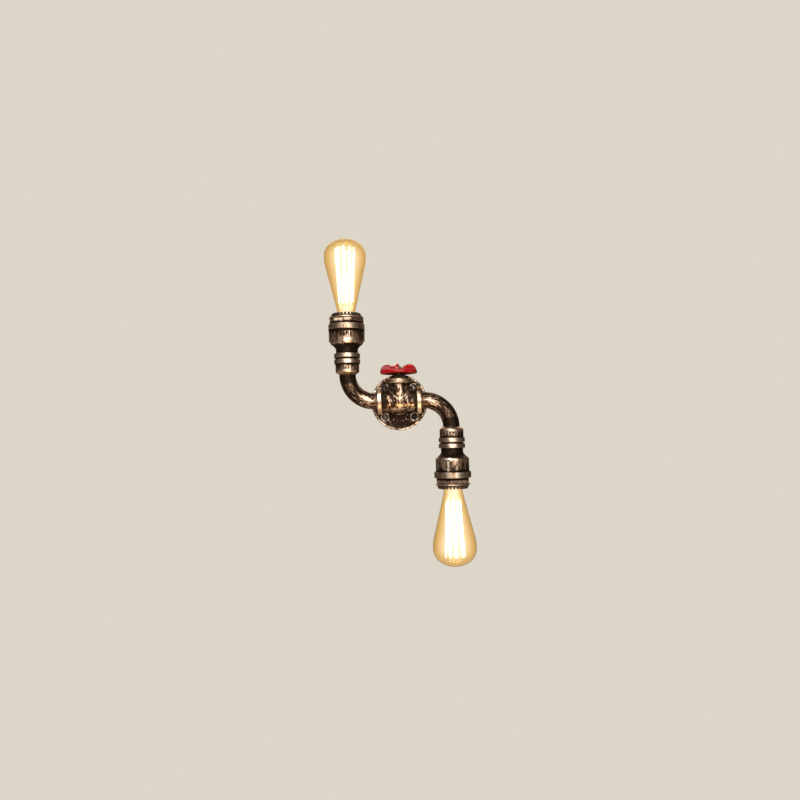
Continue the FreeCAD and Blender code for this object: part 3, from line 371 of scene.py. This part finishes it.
RIB_LEVELS = (87 * MM, 104.5 * MM)
RIB_RUB_START = 0.4 * MM
RIB_RUB_FULL = 1.2 * MM

# How much bronze shows, as (millimetres, share) pairs: on a lamp's fittings by the level above or
# below the tee, on the tee by the distance along its run and up its branch, and on the flange by
# the distance from its centre
LAMP_REACH = 131 * MM
LAMP_RUB = (
    (0, 0.47), (26, 0.47), (34, 0.11), (39.5, 0.30), (41, 0.95), (45, 0.82), (48, 0.50),
    (53.5, 0.50), (55.2, 0.0), (56.2, 0.0), (56.8, 0.84), (62.4, 0.84), (63.2, 0.05), (64.8, 0.05),
    (65.3, 0.84), (71.0, 0.84), (71.8, 0.0), (76, 0.22), (80, 0.10), (84.5, 0.40), (87.5, 0.98),
    (91.0, 0.66), (97, 0.56), (103.0, 0.50), (105, 0.0), (106.0, 0.0), (106.6, 0.84),
    (114.2, 0.84), (115.0, 0.0), (116.8, 0.10), (118, 0.50), (122.6, 1.0))
TEE_REACH = 40 * MM
RUN_RUB = ((0, 0.60), (8, 0.42), (18, 0.47), (24.6, 0.28), (25.8, 0.76), (40, 0.76))
BRANCH_RUB = ((0, 0.0), (24.4, 0.0), (25.4, 0.76), (40, 0.76))
# Share of bare bronze along the tee's two creases: a painted highlight
CREASE_HIGHLIGHT = 0.26
CREASE_WIDTH, CREASE_CORE = 2.6 * MM, 0.4 * MM
CREASE_FOOT, CREASE_TOP = (0.0, 3 * MM), (20 * MM, 14 * MM)
# Share of bare bronze along the run's lower half: painted glints of the lamps' light
BELLY_GLINT = 0.08
BELLY_TOP, BELLY_FOOT = (-3 * MM, -8 * MM), (-16 * MM, -13 * MM)
FLANGE_REACH = 45 * MM
FLANGE_RUB = ((0, 0.5), (16, 0.5), (20, 0.36), (38.6, 0.36), (39.8, 0.62), (45, 0.50))
HOLE_RUB = 0.20
HOLE_RUB_WIDTH = 2.5 * MM
HOLE_RUB_FULL = 0.8 * MM

# Screw holes of the flange
bolt_pattern = next(mount for mount in frame["record"]["mounts"] if mount["kind"] == "bolt_pattern")
HOLE_ASIDE = bolt_pattern["dims"]["pcd_mm"] / 2 * MM * math.sin(math.radians(45))
HOLE_RADIUS = bolt_pattern["dims"]["hole_r_mm"] * MM


def lamp_rub(shader):
    """A lamp's fittings by their level. The ribs along the bell are rubbed bare."""
    level = shader.along("Z")
    aside = shader.calc("SUBTRACT", shader.along("X"), LAMP_AXIS)
    depth = shader.calc("SUBTRACT", shader.part("Y"), TEE.y)
    outside = shader.rise(shader.distance(aside, depth),
                          BELL_RADIUS + RIB_RUB_START, BELL_RADIUS + RIB_RUB_FULL)
    low, high = RIB_LEVELS
    ribs = shader.product(outside, shader.calc("GREATER_THAN", level, low),
                          shader.calc("LESS_THAN", level, high))
    return shader.calc("MAXIMUM", shader.profile(level, LAMP_REACH, *LAMP_RUB), ribs)


def tee_rub(shader):
    """The beads are rubbed bare. The two creases where the branch grows out of the run carry a painted
    highlight, and a band along the run's lower half carries painted glints of the lamps' light. Both
    are drawn as bare bronze."""
    run = shader.profile(shader.along("X"), TEE_REACH, *RUN_RUB)
    branch = shader.profile(shader.along("Z"), TEE_REACH, *BRANCH_RUB)
    height = shader.part("Z")
    aside = shader.calc("ABSOLUTE", shader.calc("SUBTRACT", shader.along("X"), height))
    # Painted highlight along the two creases, drawn as bare bronze
    crease_highlight = shader.product(shader.rise(aside, CREASE_WIDTH, CREASE_CORE),
                            shader.rise(height, *CREASE_FOOT), shader.rise(height, *CREASE_TOP))
    # Painted glints of the lamps' light along the run's lower half, drawn as bare bronze
    belly_glint = shader.product(shader.rise(height, *BELLY_TOP), shader.rise(height, *BELLY_FOOT))
    body = shader.total((run, 1.0), (crease_highlight, CREASE_HIGHLIGHT), (belly_glint, BELLY_GLINT))
    return shader.calc("MAXIMUM", body, branch)


def flange_rub(shader):
    """The raised rim and a ring round each screw hole are rubbed bare."""
    plate = shader.profile(shader.from_centre(), FLANGE_REACH, *FLANGE_RUB)
    from_hole = shader.distance(shader.calc("SUBTRACT", shader.along("X"), HOLE_ASIDE),
                                shader.calc("SUBTRACT", shader.along("Z"), HOLE_ASIDE))
    near = shader.rise(from_hole, HOLE_RADIUS + HOLE_RUB_WIDTH, HOLE_RADIUS + HOLE_RUB_FULL)
    return shader.total((plate, 1.0), (near, HOLE_RUB))


def bend_flow(shader):
    """The point told along the bend, across it and towards the wall, so that strokes follow the
    pipe round its arc."""
    out = shader.calc("SUBTRACT", shader.along("X"), LAMP_AXIS - BEND_RADIUS)
    down = shader.calc("SUBTRACT", BEND_RADIUS, shader.along("Z"))
    travel = shader.product(shader.calc("ARCTAN2", down, out), BEND_RADIUS)
    return shader.add("CombineXYZ", {
        "X": travel, "Y": shader.part("Y"), "Z": shader.distance(out, down)}).outputs[0]


def aged_bronze(name, rub, stretch=(1.0, 1.0, 1.0), swirl=0.4, flow=None):
    """rub gives the share of bronze that shows at each place, stretch the way of the strokes
    and flow the place that they are drawn by. Recesses stay dark and edges are rubbed bare."""
    shader, material = new_material(name)
    place = flow(shader) if flow else None
    open_part = shader.rise(shader.openness(RECESS_REACH), 0.45, 0.95)
    patches = shader.grain(PATCH_SIZE, detail=4.0, distortion=swirl, place=place, stretch=stretch)
    strokes = shader.grain(STROKE_SIZE, detail=5.0, roughness=0.62, distortion=swirl, place=place,
                           stretch=stretch)
    flecks = shader.grain(FLECK_SIZE, detail=3.0, roughness=0.6, place=place, stretch=stretch)
    brush = shader.total((patches, 0.25), (strokes, 0.50), (flecks, 0.25))
    edge = shader.rise(shader.edges(EDGE_WIDTH), 0.02, 0.18)
    share = shader.total((shader.product(rub(shader), open_part), 1.0),
                         (shader.product(edge, open_part), BARE_EDGE))
    mask = shader.rise(shader.total((brush, 1.0), (share, RUB_SHARE)), BARE_FROM, BARE_BY)
    tone = shader.rise(shader.total((flecks, 0.4), (patches, 0.6)), 0.36, 0.64)
    depth = shader.product(mask, shader.blend_values(tone, 0.50, 1.0))
    casting = shader.grain(CASTING_SIZE, detail=1.5)
    relief = shader.total((casting, 0.8), (strokes, 0.16), (flecks, 0.05))
    shader.surface(
        base_colour=shader.ramp(depth, *BRONZE), metallic=shader.blend_values(mask, 0.30, 1.0),
        roughness=shader.blend_values(mask, 0.48, shader.blend_values(tone, 0.42, 0.32)),
        mirror=shader.blend_values(mask, 0.25, 0.5), mirror_tint=WARM_SHINE,
        normal=shader.bumps(relief, 0.6, CASTING_DEPTH, under=shader.rounded(EDGE_ROUNDING)))
    return material


# Red paint of the valve wheel
RED_THIN = (0.28, 0.002, 0.003)
RED_THICK = (0.42, 0.004, 0.006)
# Painted shade: the red darkened in the wheel's hollows
RED_HOLLOW_SHADE = (0.040, 0.0008, 0.001)
# Lighter red along the edges: partly thinner paint, partly a painted highlight
RED_THINNED_EDGE_AND_HIGHLIGHT = (0.55, 0.05, 0.05)
RED_CHIP = (0.12, 0.05, 0.04)


def red_enamel():
    """Thick glossy paint with painted shade in the hollows, a lighter red along the edges that is
    partly thinner paint and partly a painted highlight, and chipped in a few places.
    """
    shader, material = new_material("red_enamel")
    # Painted shade in the hollows, from how enclosed each point is
    hollow_shade = shader.rise(shader.openness(9 * MM), 0.30, 0.85)
    tone = shader.grain(6 * MM, detail=3.0)
    peel = shader.grain(2.2 * MM, detail=2.0)
    red = shader.blend_colours(hollow_shade, RED_HOLLOW_SHADE, shader.blend_colours(tone, RED_THIN, RED_THICK))
    thin = shader.rise(shader.edges(0.7 * MM), 0.04, 0.30)
    chips = shader.product(thin, shader.rise(shader.grain(2.4 * MM, detail=5.0), 0.60, 0.68))
    # Edges lightened towards a brighter red: partly thinner paint, partly a painted highlight
    red = shader.blend_colours(shader.product(thin, 0.35), red, RED_THINNED_EDGE_AND_HIGHLIGHT)
    shader.surface(base_colour=shader.blend_colours(chips, red, RED_CHIP), ior=1.3,
                   roughness=shader.blend_values(tone, 0.38, 0.50), coat=0.4, coat_roughness=0.05,
                   normal=shader.bumps(peel, 0.20, 0.3 * MM, under=shader.rounded(0.4 * MM)))
    return material


def plain_metal(name, colour, roughness, wear=0.3):
    """Machined metal with tarnish in patches and fine scratches."""
    shader, material = new_material(name)
    patch = shader.rise(shader.grain(5 * MM, detail=5.0, roughness=0.6), 0.45, 0.68)
    recess = shader.rise(shader.openness(2 * MM), 0.3, 0.9)
    scratches = shader.grain(0.5 * MM, detail=3.0, stretch=(1.0, 1.0, 6.0))
    dull = tuple(part * 0.35 for part in colour)
    worn = shader.blend_colours(shader.product(patch, wear), colour, dull)
    shader.surface(base_colour=shader.blend_colours(recess, dull, worn), metallic=1.0,
                   roughness=shader.blend_values(patch, roughness, roughness + 0.18),
                   normal=shader.bumps(scratches, 0.2, 0.1 * MM, under=shader.rounded(0.2 * MM)))
    return material


def black_enamel():
    """Black paint, rubbed to copper on the teeth and edges."""
    shader, material = new_material("black_enamel")
    worn = shader.product(shader.rise(shader.edges(0.6 * MM), 0.02, 0.16),
                          shader.rise(shader.grain(3 * MM, detail=5.0), 0.36, 0.54))
    dust = shader.rise(shader.grain(2 * MM, detail=5.0), 0.5, 0.8)
    colour = shader.blend_colours(worn, (0.010, 0.010, 0.011), (0.26, 0.14, 0.08))
    shader.surface(base_colour=colour, metallic=worn,
                   roughness=shader.blend_values(dust, 0.30, 0.48),
                   normal=shader.bumps(dust, 0.15, 0.15 * MM, under=shader.rounded(0.3 * MM)))
    return material


def ceramic(name, colour):
    shader, material = new_material(name)
    stain = shader.rise(shader.grain(4 * MM, detail=5.0), 0.45, 0.75)
    darker = tuple(part * 0.72 for part in colour)
    shader.surface(base_colour=shader.blend_colours(stain, colour, darker),
                   roughness=shader.blend_values(stain, 0.22, 0.40),
                   normal=shader.bumps(shader.grain(0.8 * MM), 0.10, 0.1 * MM))
    return material


def plastic(name, colour, roughness=0.5):
    shader, material = new_material(name)
    grain = shader.grain(1.2 * MM, detail=4.0)
    darker = tuple(part * 0.8 for part in colour)
    shader.surface(base_colour=shader.blend_colours(grain, colour, darker), roughness=roughness,
                   normal=shader.bumps(grain, 0.1, 0.1 * MM))
    return material


# Glass, paler where it is seen face on
AMBER = ((0.08, (0.99, 0.88, 0.68)), (0.32, (0.96, 0.76, 0.43)),
         (0.62, (0.92, 0.64, 0.27)), (0.96, (0.70, 0.33, 0.07)))
# Colours of the painted glow on the glass: faint all over, brighter where it is seen face on
AMBER_GLOW = (1.0, 0.72, 0.46)
VEIL_GLOW = (1.0, 0.86, 0.74)


def amber_glass():
    """Tinted glass with the slow waves of a blown bulb, deeper where it is seen edge on. A painted
    glow of the filament's light lies on the glass itself, faint all over and strongest where it is
    seen face on."""
    shader, material = new_material("amber_glass")
    swirl = shader.grain(14 * MM, detail=2.0)
    facing = shader.add("LayerWeight", {"Blend": 0.35}).outputs["Facing"]
    depth = shader.total((facing, 0.94), (swirl, 0.12))
    painted_glow = shader.rise(facing, 0.17, 0.04)
    shader.surface(base_colour=shader.ramp(depth, *AMBER), transmission=1.0, roughness=0.0, ior=1.45,
                   glow_colour=shader.blend_colours(painted_glow, AMBER_GLOW, VEIL_GLOW),
                   glow=shader.blend_values(painted_glow, 0.012, 0.15),
                   normal=shader.bumps(shader.grain(9 * MM, detail=1.0), 0.05, 0.5 * MM))
    return material


def clear_glass():
    shader, material = new_material("clear_glass")
    swirl = shader.grain(3 * MM, detail=2.0)
    colour = shader.blend_colours(swirl, (0.99, 0.98, 0.95), (0.96, 0.95, 0.90))
    shader.surface(base_colour=colour, transmission=1.0, roughness=0.03, ior=1.5)
    return material


# Glow of the filament
HEAT = 90.0


def glowing_wire():
    """Tungsten at working heat."""
    shader, material = new_material("glowing_wire")
    heat = shader.grain(9 * MM, detail=2.0)
    colour = shader.blend_colours(heat, (1.0, 0.62, 0.26), (1.0, 0.72, 0.36))
    shader.surface(base_colour=(0.2, 0.18, 0.16), roughness=0.5, glow_colour=colour, glow=HEAT)
    return material


def make_materials():
    """One material for each kind of node, by its name without the side."""
    fitting = aged_bronze("bronze_fitting", lamp_rub, stretch=UPRIGHT)
    bend = aged_bronze("bronze_bend", lamp_rub, stretch=LENGTHWISE, flow=bend_flow)
    tee = aged_bronze("bronze_tee", tee_rub, stretch=TEE_STROKES, swirl=SWIRLED)
    flange = aged_bronze("bronze_flange", flange_rub, swirl=SWIRLED)
    # A darker copy of the bronze for the bonnet, gland nut and close nipple: painted shade
    dark = aged_bronze("bronze_dark", lambda shader: SHADED_RUB)
    steel = plain_metal("dark_steel", (0.30, 0.28, 0.26), 0.35, wear=0.7)
    brass = plain_metal("bright_brass", (0.80, 0.60, 0.32), 0.25)
    support = plain_metal("support_wire", (0.55, 0.50, 0.44), 0.35)
    return {
        "wall_flange": flange, "tee_body": tee, "bend": bend, "reducing_socket": fitting,
        "hex_bushing": fitting, "lip_ring": fitting, "wall_nipple": steel, "close_nipple": dark,
        "valve_bonnet": dark, "gland_nut": dark, "valve_spindle": brass,
        "gland_packing": plastic("packing", (0.10, 0.09, 0.08), 0.8),
        # Black rubber for the wall washers: painted shade in the screw holes
        "rubber": plastic("black_rubber", (0.006, 0.005, 0.005), 0.7),
        "handwheel": red_enamel(), "wheel_washer": steel, "wheel_screw": steel,
        "wire_connectors": plastic("connector_plastic", (0.80, 0.78, 0.70)),
        "shade_ring": black_enamel(), "holder_body": ceramic("white_ceramic", (0.84, 0.82, 0.77)),
        "screw_shell": brass, "centre_contact": brass, "terminal_screws": brass,
        "leads": plastic("wire_insulation", (0.35, 0.32, 0.28)),
        "glass_envelope": amber_glass(), "glass_stem": clear_glass(),
        "filament_supports": support, "filament": glowing_wire(), "lead_in_wires": support,
        "bulb_cap": plain_metal("cap_brass", (0.78, 0.62, 0.38), 0.22), "cap_contact": brass,
        "cap_insulator": ceramic("black_ceramic", (0.03, 0.03, 0.03)),
    }


# Filament cage, as the CAD has it: hooks in each star, and its radius at the foot as a share of
# the radius at the top
HOOKS = 9
FOOT_TO_TOP = 11.0 / 14.5
CAGE_TURN = 5.0
HOOK_RADIUS = 0.22 * MM
STRAND_RADIUS = 0.42 * MM
BUTTON_RADIUS = 2.6 * MM
TURN_HALF_WIDTH = 0.45 * MM
TURN_RISE = 0.9 * MM
TURN_DEPTH = 1.6 * MM
HOOK_OVERHANG = 0.75 * MM
END_ANGLE = 9.0


def on_ring(radius, degrees, level):
    """A point on the cage at that angle."""
    angle = math.radians(degrees + CAGE_TURN)
    return Vector((radius * math.cos(angle), radius * math.sin(angle), level))


def add_wire(name, lines, radius, place, material):
    """Round wires along smooth lines of control points."""
    curve = bpy.data.curves.new(name, "CURVE")
    curve.dimensions = "3D"
    curve.bevel_depth = radius
    curve.bevel_resolution = 2
    curve.resolution_u = 4
    curve.use_fill_caps = True
    for points in lines:
        spline = curve.splines.new("NURBS")
        spline.points.add(len(points) - 1)
        for point, target in zip(spline.points, points):
            point.co = (*(place @ target), 1.0)
        spline.order_u = 3
        spline.use_endpoint_u = True
    curve.materials.append(material)
    return add_object(name, curve)


def cage_sizes():
    """Levels of the two stars of hooks, and the radius of the wire's ring at each."""
    low, high = levels_of("left_filament_supports")
    box_low, box_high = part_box("left_filament")
    top = (box_high.x - box_low.x) / 2 - STRAND_RADIUS
    return low + HOOK_RADIUS, high - HOOK_RADIUS, top * FOOT_TO_TOP, top


def add_filament(side, materials):
    """One wire up and down the cage, bent round a hook at every turn, and the hooks."""
    place = lamp_place(side)
    foot_level, top_level, foot_radius, top_radius = cage_sizes()
    step = 360.0 / HOOKS
    path = [on_ring(foot_radius, END_ANGLE, foot_level)]
    hooks = []
    for number in range(2 * HOOKS):
        degrees = step * (number + 1) / 2
        if number % 2:
            radius, level, out = foot_radius, foot_level, -1
        else:
            radius, level, out = top_radius, top_level, 1
        hooks.append([on_ring(BUTTON_RADIUS, degrees, level),
                      on_ring(radius - HOOK_OVERHANG, degrees, level),
                      on_ring(radius + HOOK_OVERHANG, degrees, level),
                      on_ring(radius + HOOK_OVERHANG, degrees, level + out * 2 * HOOK_OVERHANG),
                      on_ring(radius, degrees, level + out * 2 * HOOK_OVERHANG)])
        if number == 2 * HOOKS - 1:
            break
        spread = math.degrees(TURN_HALF_WIDTH / radius)
        for hand, rise in ((-1, -TURN_DEPTH), (-1, TURN_RISE), (1, TURN_RISE), (1, -TURN_DEPTH)):
            path.append(on_ring(radius, degrees + hand * spread, level + out * rise))
    path.append(on_ring(foot_radius, 360.0 - END_ANGLE, foot_level))
    wire = add_wire(f"{side}_filament_wire", [path], STRAND_RADIUS, place, materials["filament"])
    declare(wire, f"{side}_bulb", f"{side}_filament")
    star = add_wire(f"{side}_filament_hooks", hooks, HOOK_RADIUS, place,
                    materials["filament_supports"])
    declare(star, f"{side}_bulb", f"{side}_filament_supports")


# Turned pieces
TURN_STEPS = 96


def ring_of(reach, level):
    """A level ring about the axis, whose reach is a number or a function of the angle in degrees."""
    points = []
    for number in range(TURN_STEPS):
        degrees = 360.0 * number / TURN_STEPS
        radius = reach(degrees) if callable(reach) else reach
        angle = math.radians(degrees)
        points.append(Vector((radius * math.cos(angle), radius * math.sin(angle), level)))
    return points


def skin(name, rings, place, material, closed=False):
    """A solid whose surface joins each ring to the next, and ends in two flat faces or, where it
    is closed, in its first ring again."""
    mesh = bmesh.new()
    loops = [[mesh.verts.new(place @ point) for point in ring] for ring in rings]
    if closed:
        loops.append(loops[0])
    else:
        mesh.faces.new(loops[0])
        mesh.faces.new(loops[-1])
    for loop, following in zip(loops, loops[1:]):
        for number in range(TURN_STEPS):
            beside = (number + 1) % TURN_STEPS
            mesh.faces.new((loop[number], loop[beside], following[beside], following[number]))
    bmesh.ops.recalc_face_normals(mesh, faces=mesh.faces)
    for face in mesh.faces:
        face.smooth = len(face.verts) == 4
    data = bpy.data.meshes.new(name)
    mesh.to_mesh(data)
    mesh.free()
    data.materials.append(material)
    return add_object(name, data)


# Bulb caps, rolled in thin sheet
THREAD_PITCH = 3.62 * MM
THREAD_DEPTH = 0.75 * MM
THREAD_STEP = 0.3 * MM
THREAD_FADE = 2.0 * MM
SHEET = 0.5 * MM
CAP_MOUTH = 9.0 * MM
CAP_CONE = 2.0 * MM
CONE_CORNER = (0.5 * CAP_CONE, 0.35 * CAP_CONE)
COLLAR_HEIGHT = 4.5 * MM
THREAD_OVERHANG = 0.6 * MM
BRIM_HEIGHT = 0.4 * MM
BRIM_TURN = 0.15 * MM


def thread_groove(level, angle, foot, top):
    """Depth of the thread at a place, from nought at the crest to one at the root."""
    fade = min(1.0, max(0.0, (level - foot) / THREAD_FADE), max(0.0, (top - level) / THREAD_FADE))
    return fade * (0.5 - 0.5 * math.cos(2 * math.pi * level / THREAD_PITCH - angle))


def levels_between(foot, top):
    count = max(2, round(abs(top - foot) / THREAD_STEP))
    return [foot + (top - foot) * number / count for number in range(count + 1)]


def add_cap(side, materials):
    """The bulb's rolled screw cap: both faces of the sheet follow the thread."""
    foot, top = levels_of("left_bulb_cap")
    low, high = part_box("left_bulb_cap")
    outer = (high.x - low.x) / 2
    cone_top, brim = foot + CAP_CONE, top - BRIM_HEIGHT
    thread_foot, thread_top = cone_top - THREAD_OVERHANG, top - COLLAR_HEIGHT

    def threaded(radius, level):
        return ring_of(lambda degrees: radius - THREAD_DEPTH * thread_groove(
            level, math.radians(degrees), thread_foot, thread_top), level)

    inward, upward = CONE_CORNER
    rings = [ring_of(CAP_MOUTH, foot), ring_of(outer - CAP_CONE, foot),
             ring_of(outer - inward, foot + upward)]
    rings += [threaded(outer, level) for level in levels_between(cone_top, brim)]
    rings += [ring_of(outer - BRIM_TURN, top), ring_of(outer - SHEET, top)]
    rings += [threaded(outer - SHEET, level) for level in levels_between(brim, cone_top + SHEET)]
    rings += [ring_of(outer - CAP_CONE, foot + SHEET), ring_of(CAP_MOUTH, foot + SHEET)]
    cap = skin(f"{side}_rolled_cap", rings, lamp_place(side), materials["bulb_cap"], closed=True)
    declare(cap, f"{side}_bulb", f"{side}_bulb_cap")


# Wall screws, each with a black rubber washer that fills its hole in the flange. The black washers and
# the black screws are painted shade: dark things put in the holes where shade falls. For each screw:
# the side, up or down, its turn in degrees and its finish. A domed head's outline is given in shares
# of its radius and height.
SCREWS = ((1, 1, 20, "steel"), (-1, 1, 75, "black"), (-1, -1, 38, "steel"), (1, -1, 62, "black"))
SCREW_LIFT = 3.2 * MM
WASHER_CLEARANCE = 0.15 * MM
WASHER_EDGE = 0.4 * MM
WASHER_CORNER = 0.3 * WASHER_EDGE
SEAT_GAP = 0.05 * MM
SHANK_RADIUS = 2.0 * MM
HEAD_RADIUS = 3.1 * MM
HEAD_HEIGHT = 2.0 * MM
HEAD_DOME = ((1.0, 0.0), (1.0, 0.35), (0.96, 0.62), (0.86, 0.84), (0.72, 0.96), (0.62, 1.0))
RECESS_DEPTH = 1.1 * MM
RECESS_LIP = 0.02 * MM
RECESS_WIDTH = 0.6 * MM
RECESS_TAPER = 0.6
RECESS_CORNER = 18.75


def cross_reach(degrees):
    """The outline of a cross recess, from its middle."""
    aside = math.radians(abs((degrees + 45.0) % 90.0 - 45.0))
    corner = math.radians(RECESS_CORNER)
    if aside <= corner:
        return RECESS_WIDTH / math.tan(corner) / math.cos(aside)
    return RECESS_WIDTH / math.sin(aside)


def washer_rings():
    outer = HOLE_RADIUS - WASHER_CLEARANCE
    inner = SHANK_RADIUS + WASHER_CLEARANCE
    return [ring_of(inner, 0.0), ring_of(outer, 0.0), ring_of(outer, SCREW_LIFT - WASHER_EDGE),
            ring_of(outer - WASHER_CORNER, SCREW_LIFT - WASHER_CORNER),
            ring_of(outer - WASHER_EDGE, SCREW_LIFT), ring_of(inner, SCREW_LIFT)]


def screw_rings():
    seat = SCREW_LIFT + SEAT_GAP
    top = seat + HEAD_HEIGHT
    shank = [ring_of(SHANK_RADIUS, 0.0), ring_of(SHANK_RADIUS, seat)]
    head = [ring_of(HEAD_RADIUS * wide, seat + HEAD_HEIGHT * high) for wide, high in HEAD_DOME]
    recess = [ring_of(cross_reach, top), ring_of(cross_reach, top - RECESS_LIP),
              ring_of(lambda degrees: RECESS_TAPER * cross_reach(degrees), top - RECESS_DEPTH)]
    return shank + head + recess


def add_wall_screws(materials):
    # The black finish is painted shade: it darkens the holes as shade would
    metals = {"steel": materials["wheel_screw"], "black": materials["shade_ring"]}
    outward = Matrix.Rotation(math.radians(90), 4, "X")
    for number, (right, up, twist, finish) in enumerate(SCREWS, start=1):
        place = (Matrix.Translation((right * HOLE_ASIDE, 0.0, up * HOLE_ASIDE)) @ outward
                 @ Matrix.Rotation(math.radians(twist), 4, "Z"))
        # Black washer filling the hole: painted shade
        washer = skin(f"wall_shade_washer_{number}", washer_rings(), place, materials["rubber"], closed=True)
        declare(washer, "base")
        screw = skin(f"wall_screw_{number}", screw_rings(), place, metals[finish])
        declare(screw, "base")


# Cast pieces whose edges are melted round
CAST_GRID = {"handwheel": 0.5 * MM, "tee_body": 0.6 * MM}
CAST_SMOOTHING = 6
CAST_PULL = 0.5


def round_castings():
    for name, grid in CAST_GRID.items():
        remesh = nodes[name].modifiers.new("cast", "REMESH")
        remesh.mode = "VOXEL"
        remesh.voxel_size = grid
        remesh.use_smooth_shade = True
        smooth = nodes[name].modifiers.new("melt", "SMOOTH")
        smooth.factor = CAST_PULL
        smooth.iterations = CAST_SMOOTHING


def dress_cad(materials):
    for name, node in nodes.items():
        plain = name.replace("left_", "").replace("right_", "")
        node.data.materials.clear()
        node.data.materials.append(materials[plain])
    for side in SIDES:
        nodes[f"{side}_glass_envelope"].visible_shadow = False
        nodes[f"{side}_glass_stem"].visible_shadow = False


add_camera()
add_world()
add_floor()
for lamp in LAMPS:
    add_area_lamp(*lamp)
materials = make_materials()
dress_cad(materials)
round_castings()
add_wall_screws(materials)
for side in SIDES:
    add_filament(side, materials)
    add_cap(side, materials)
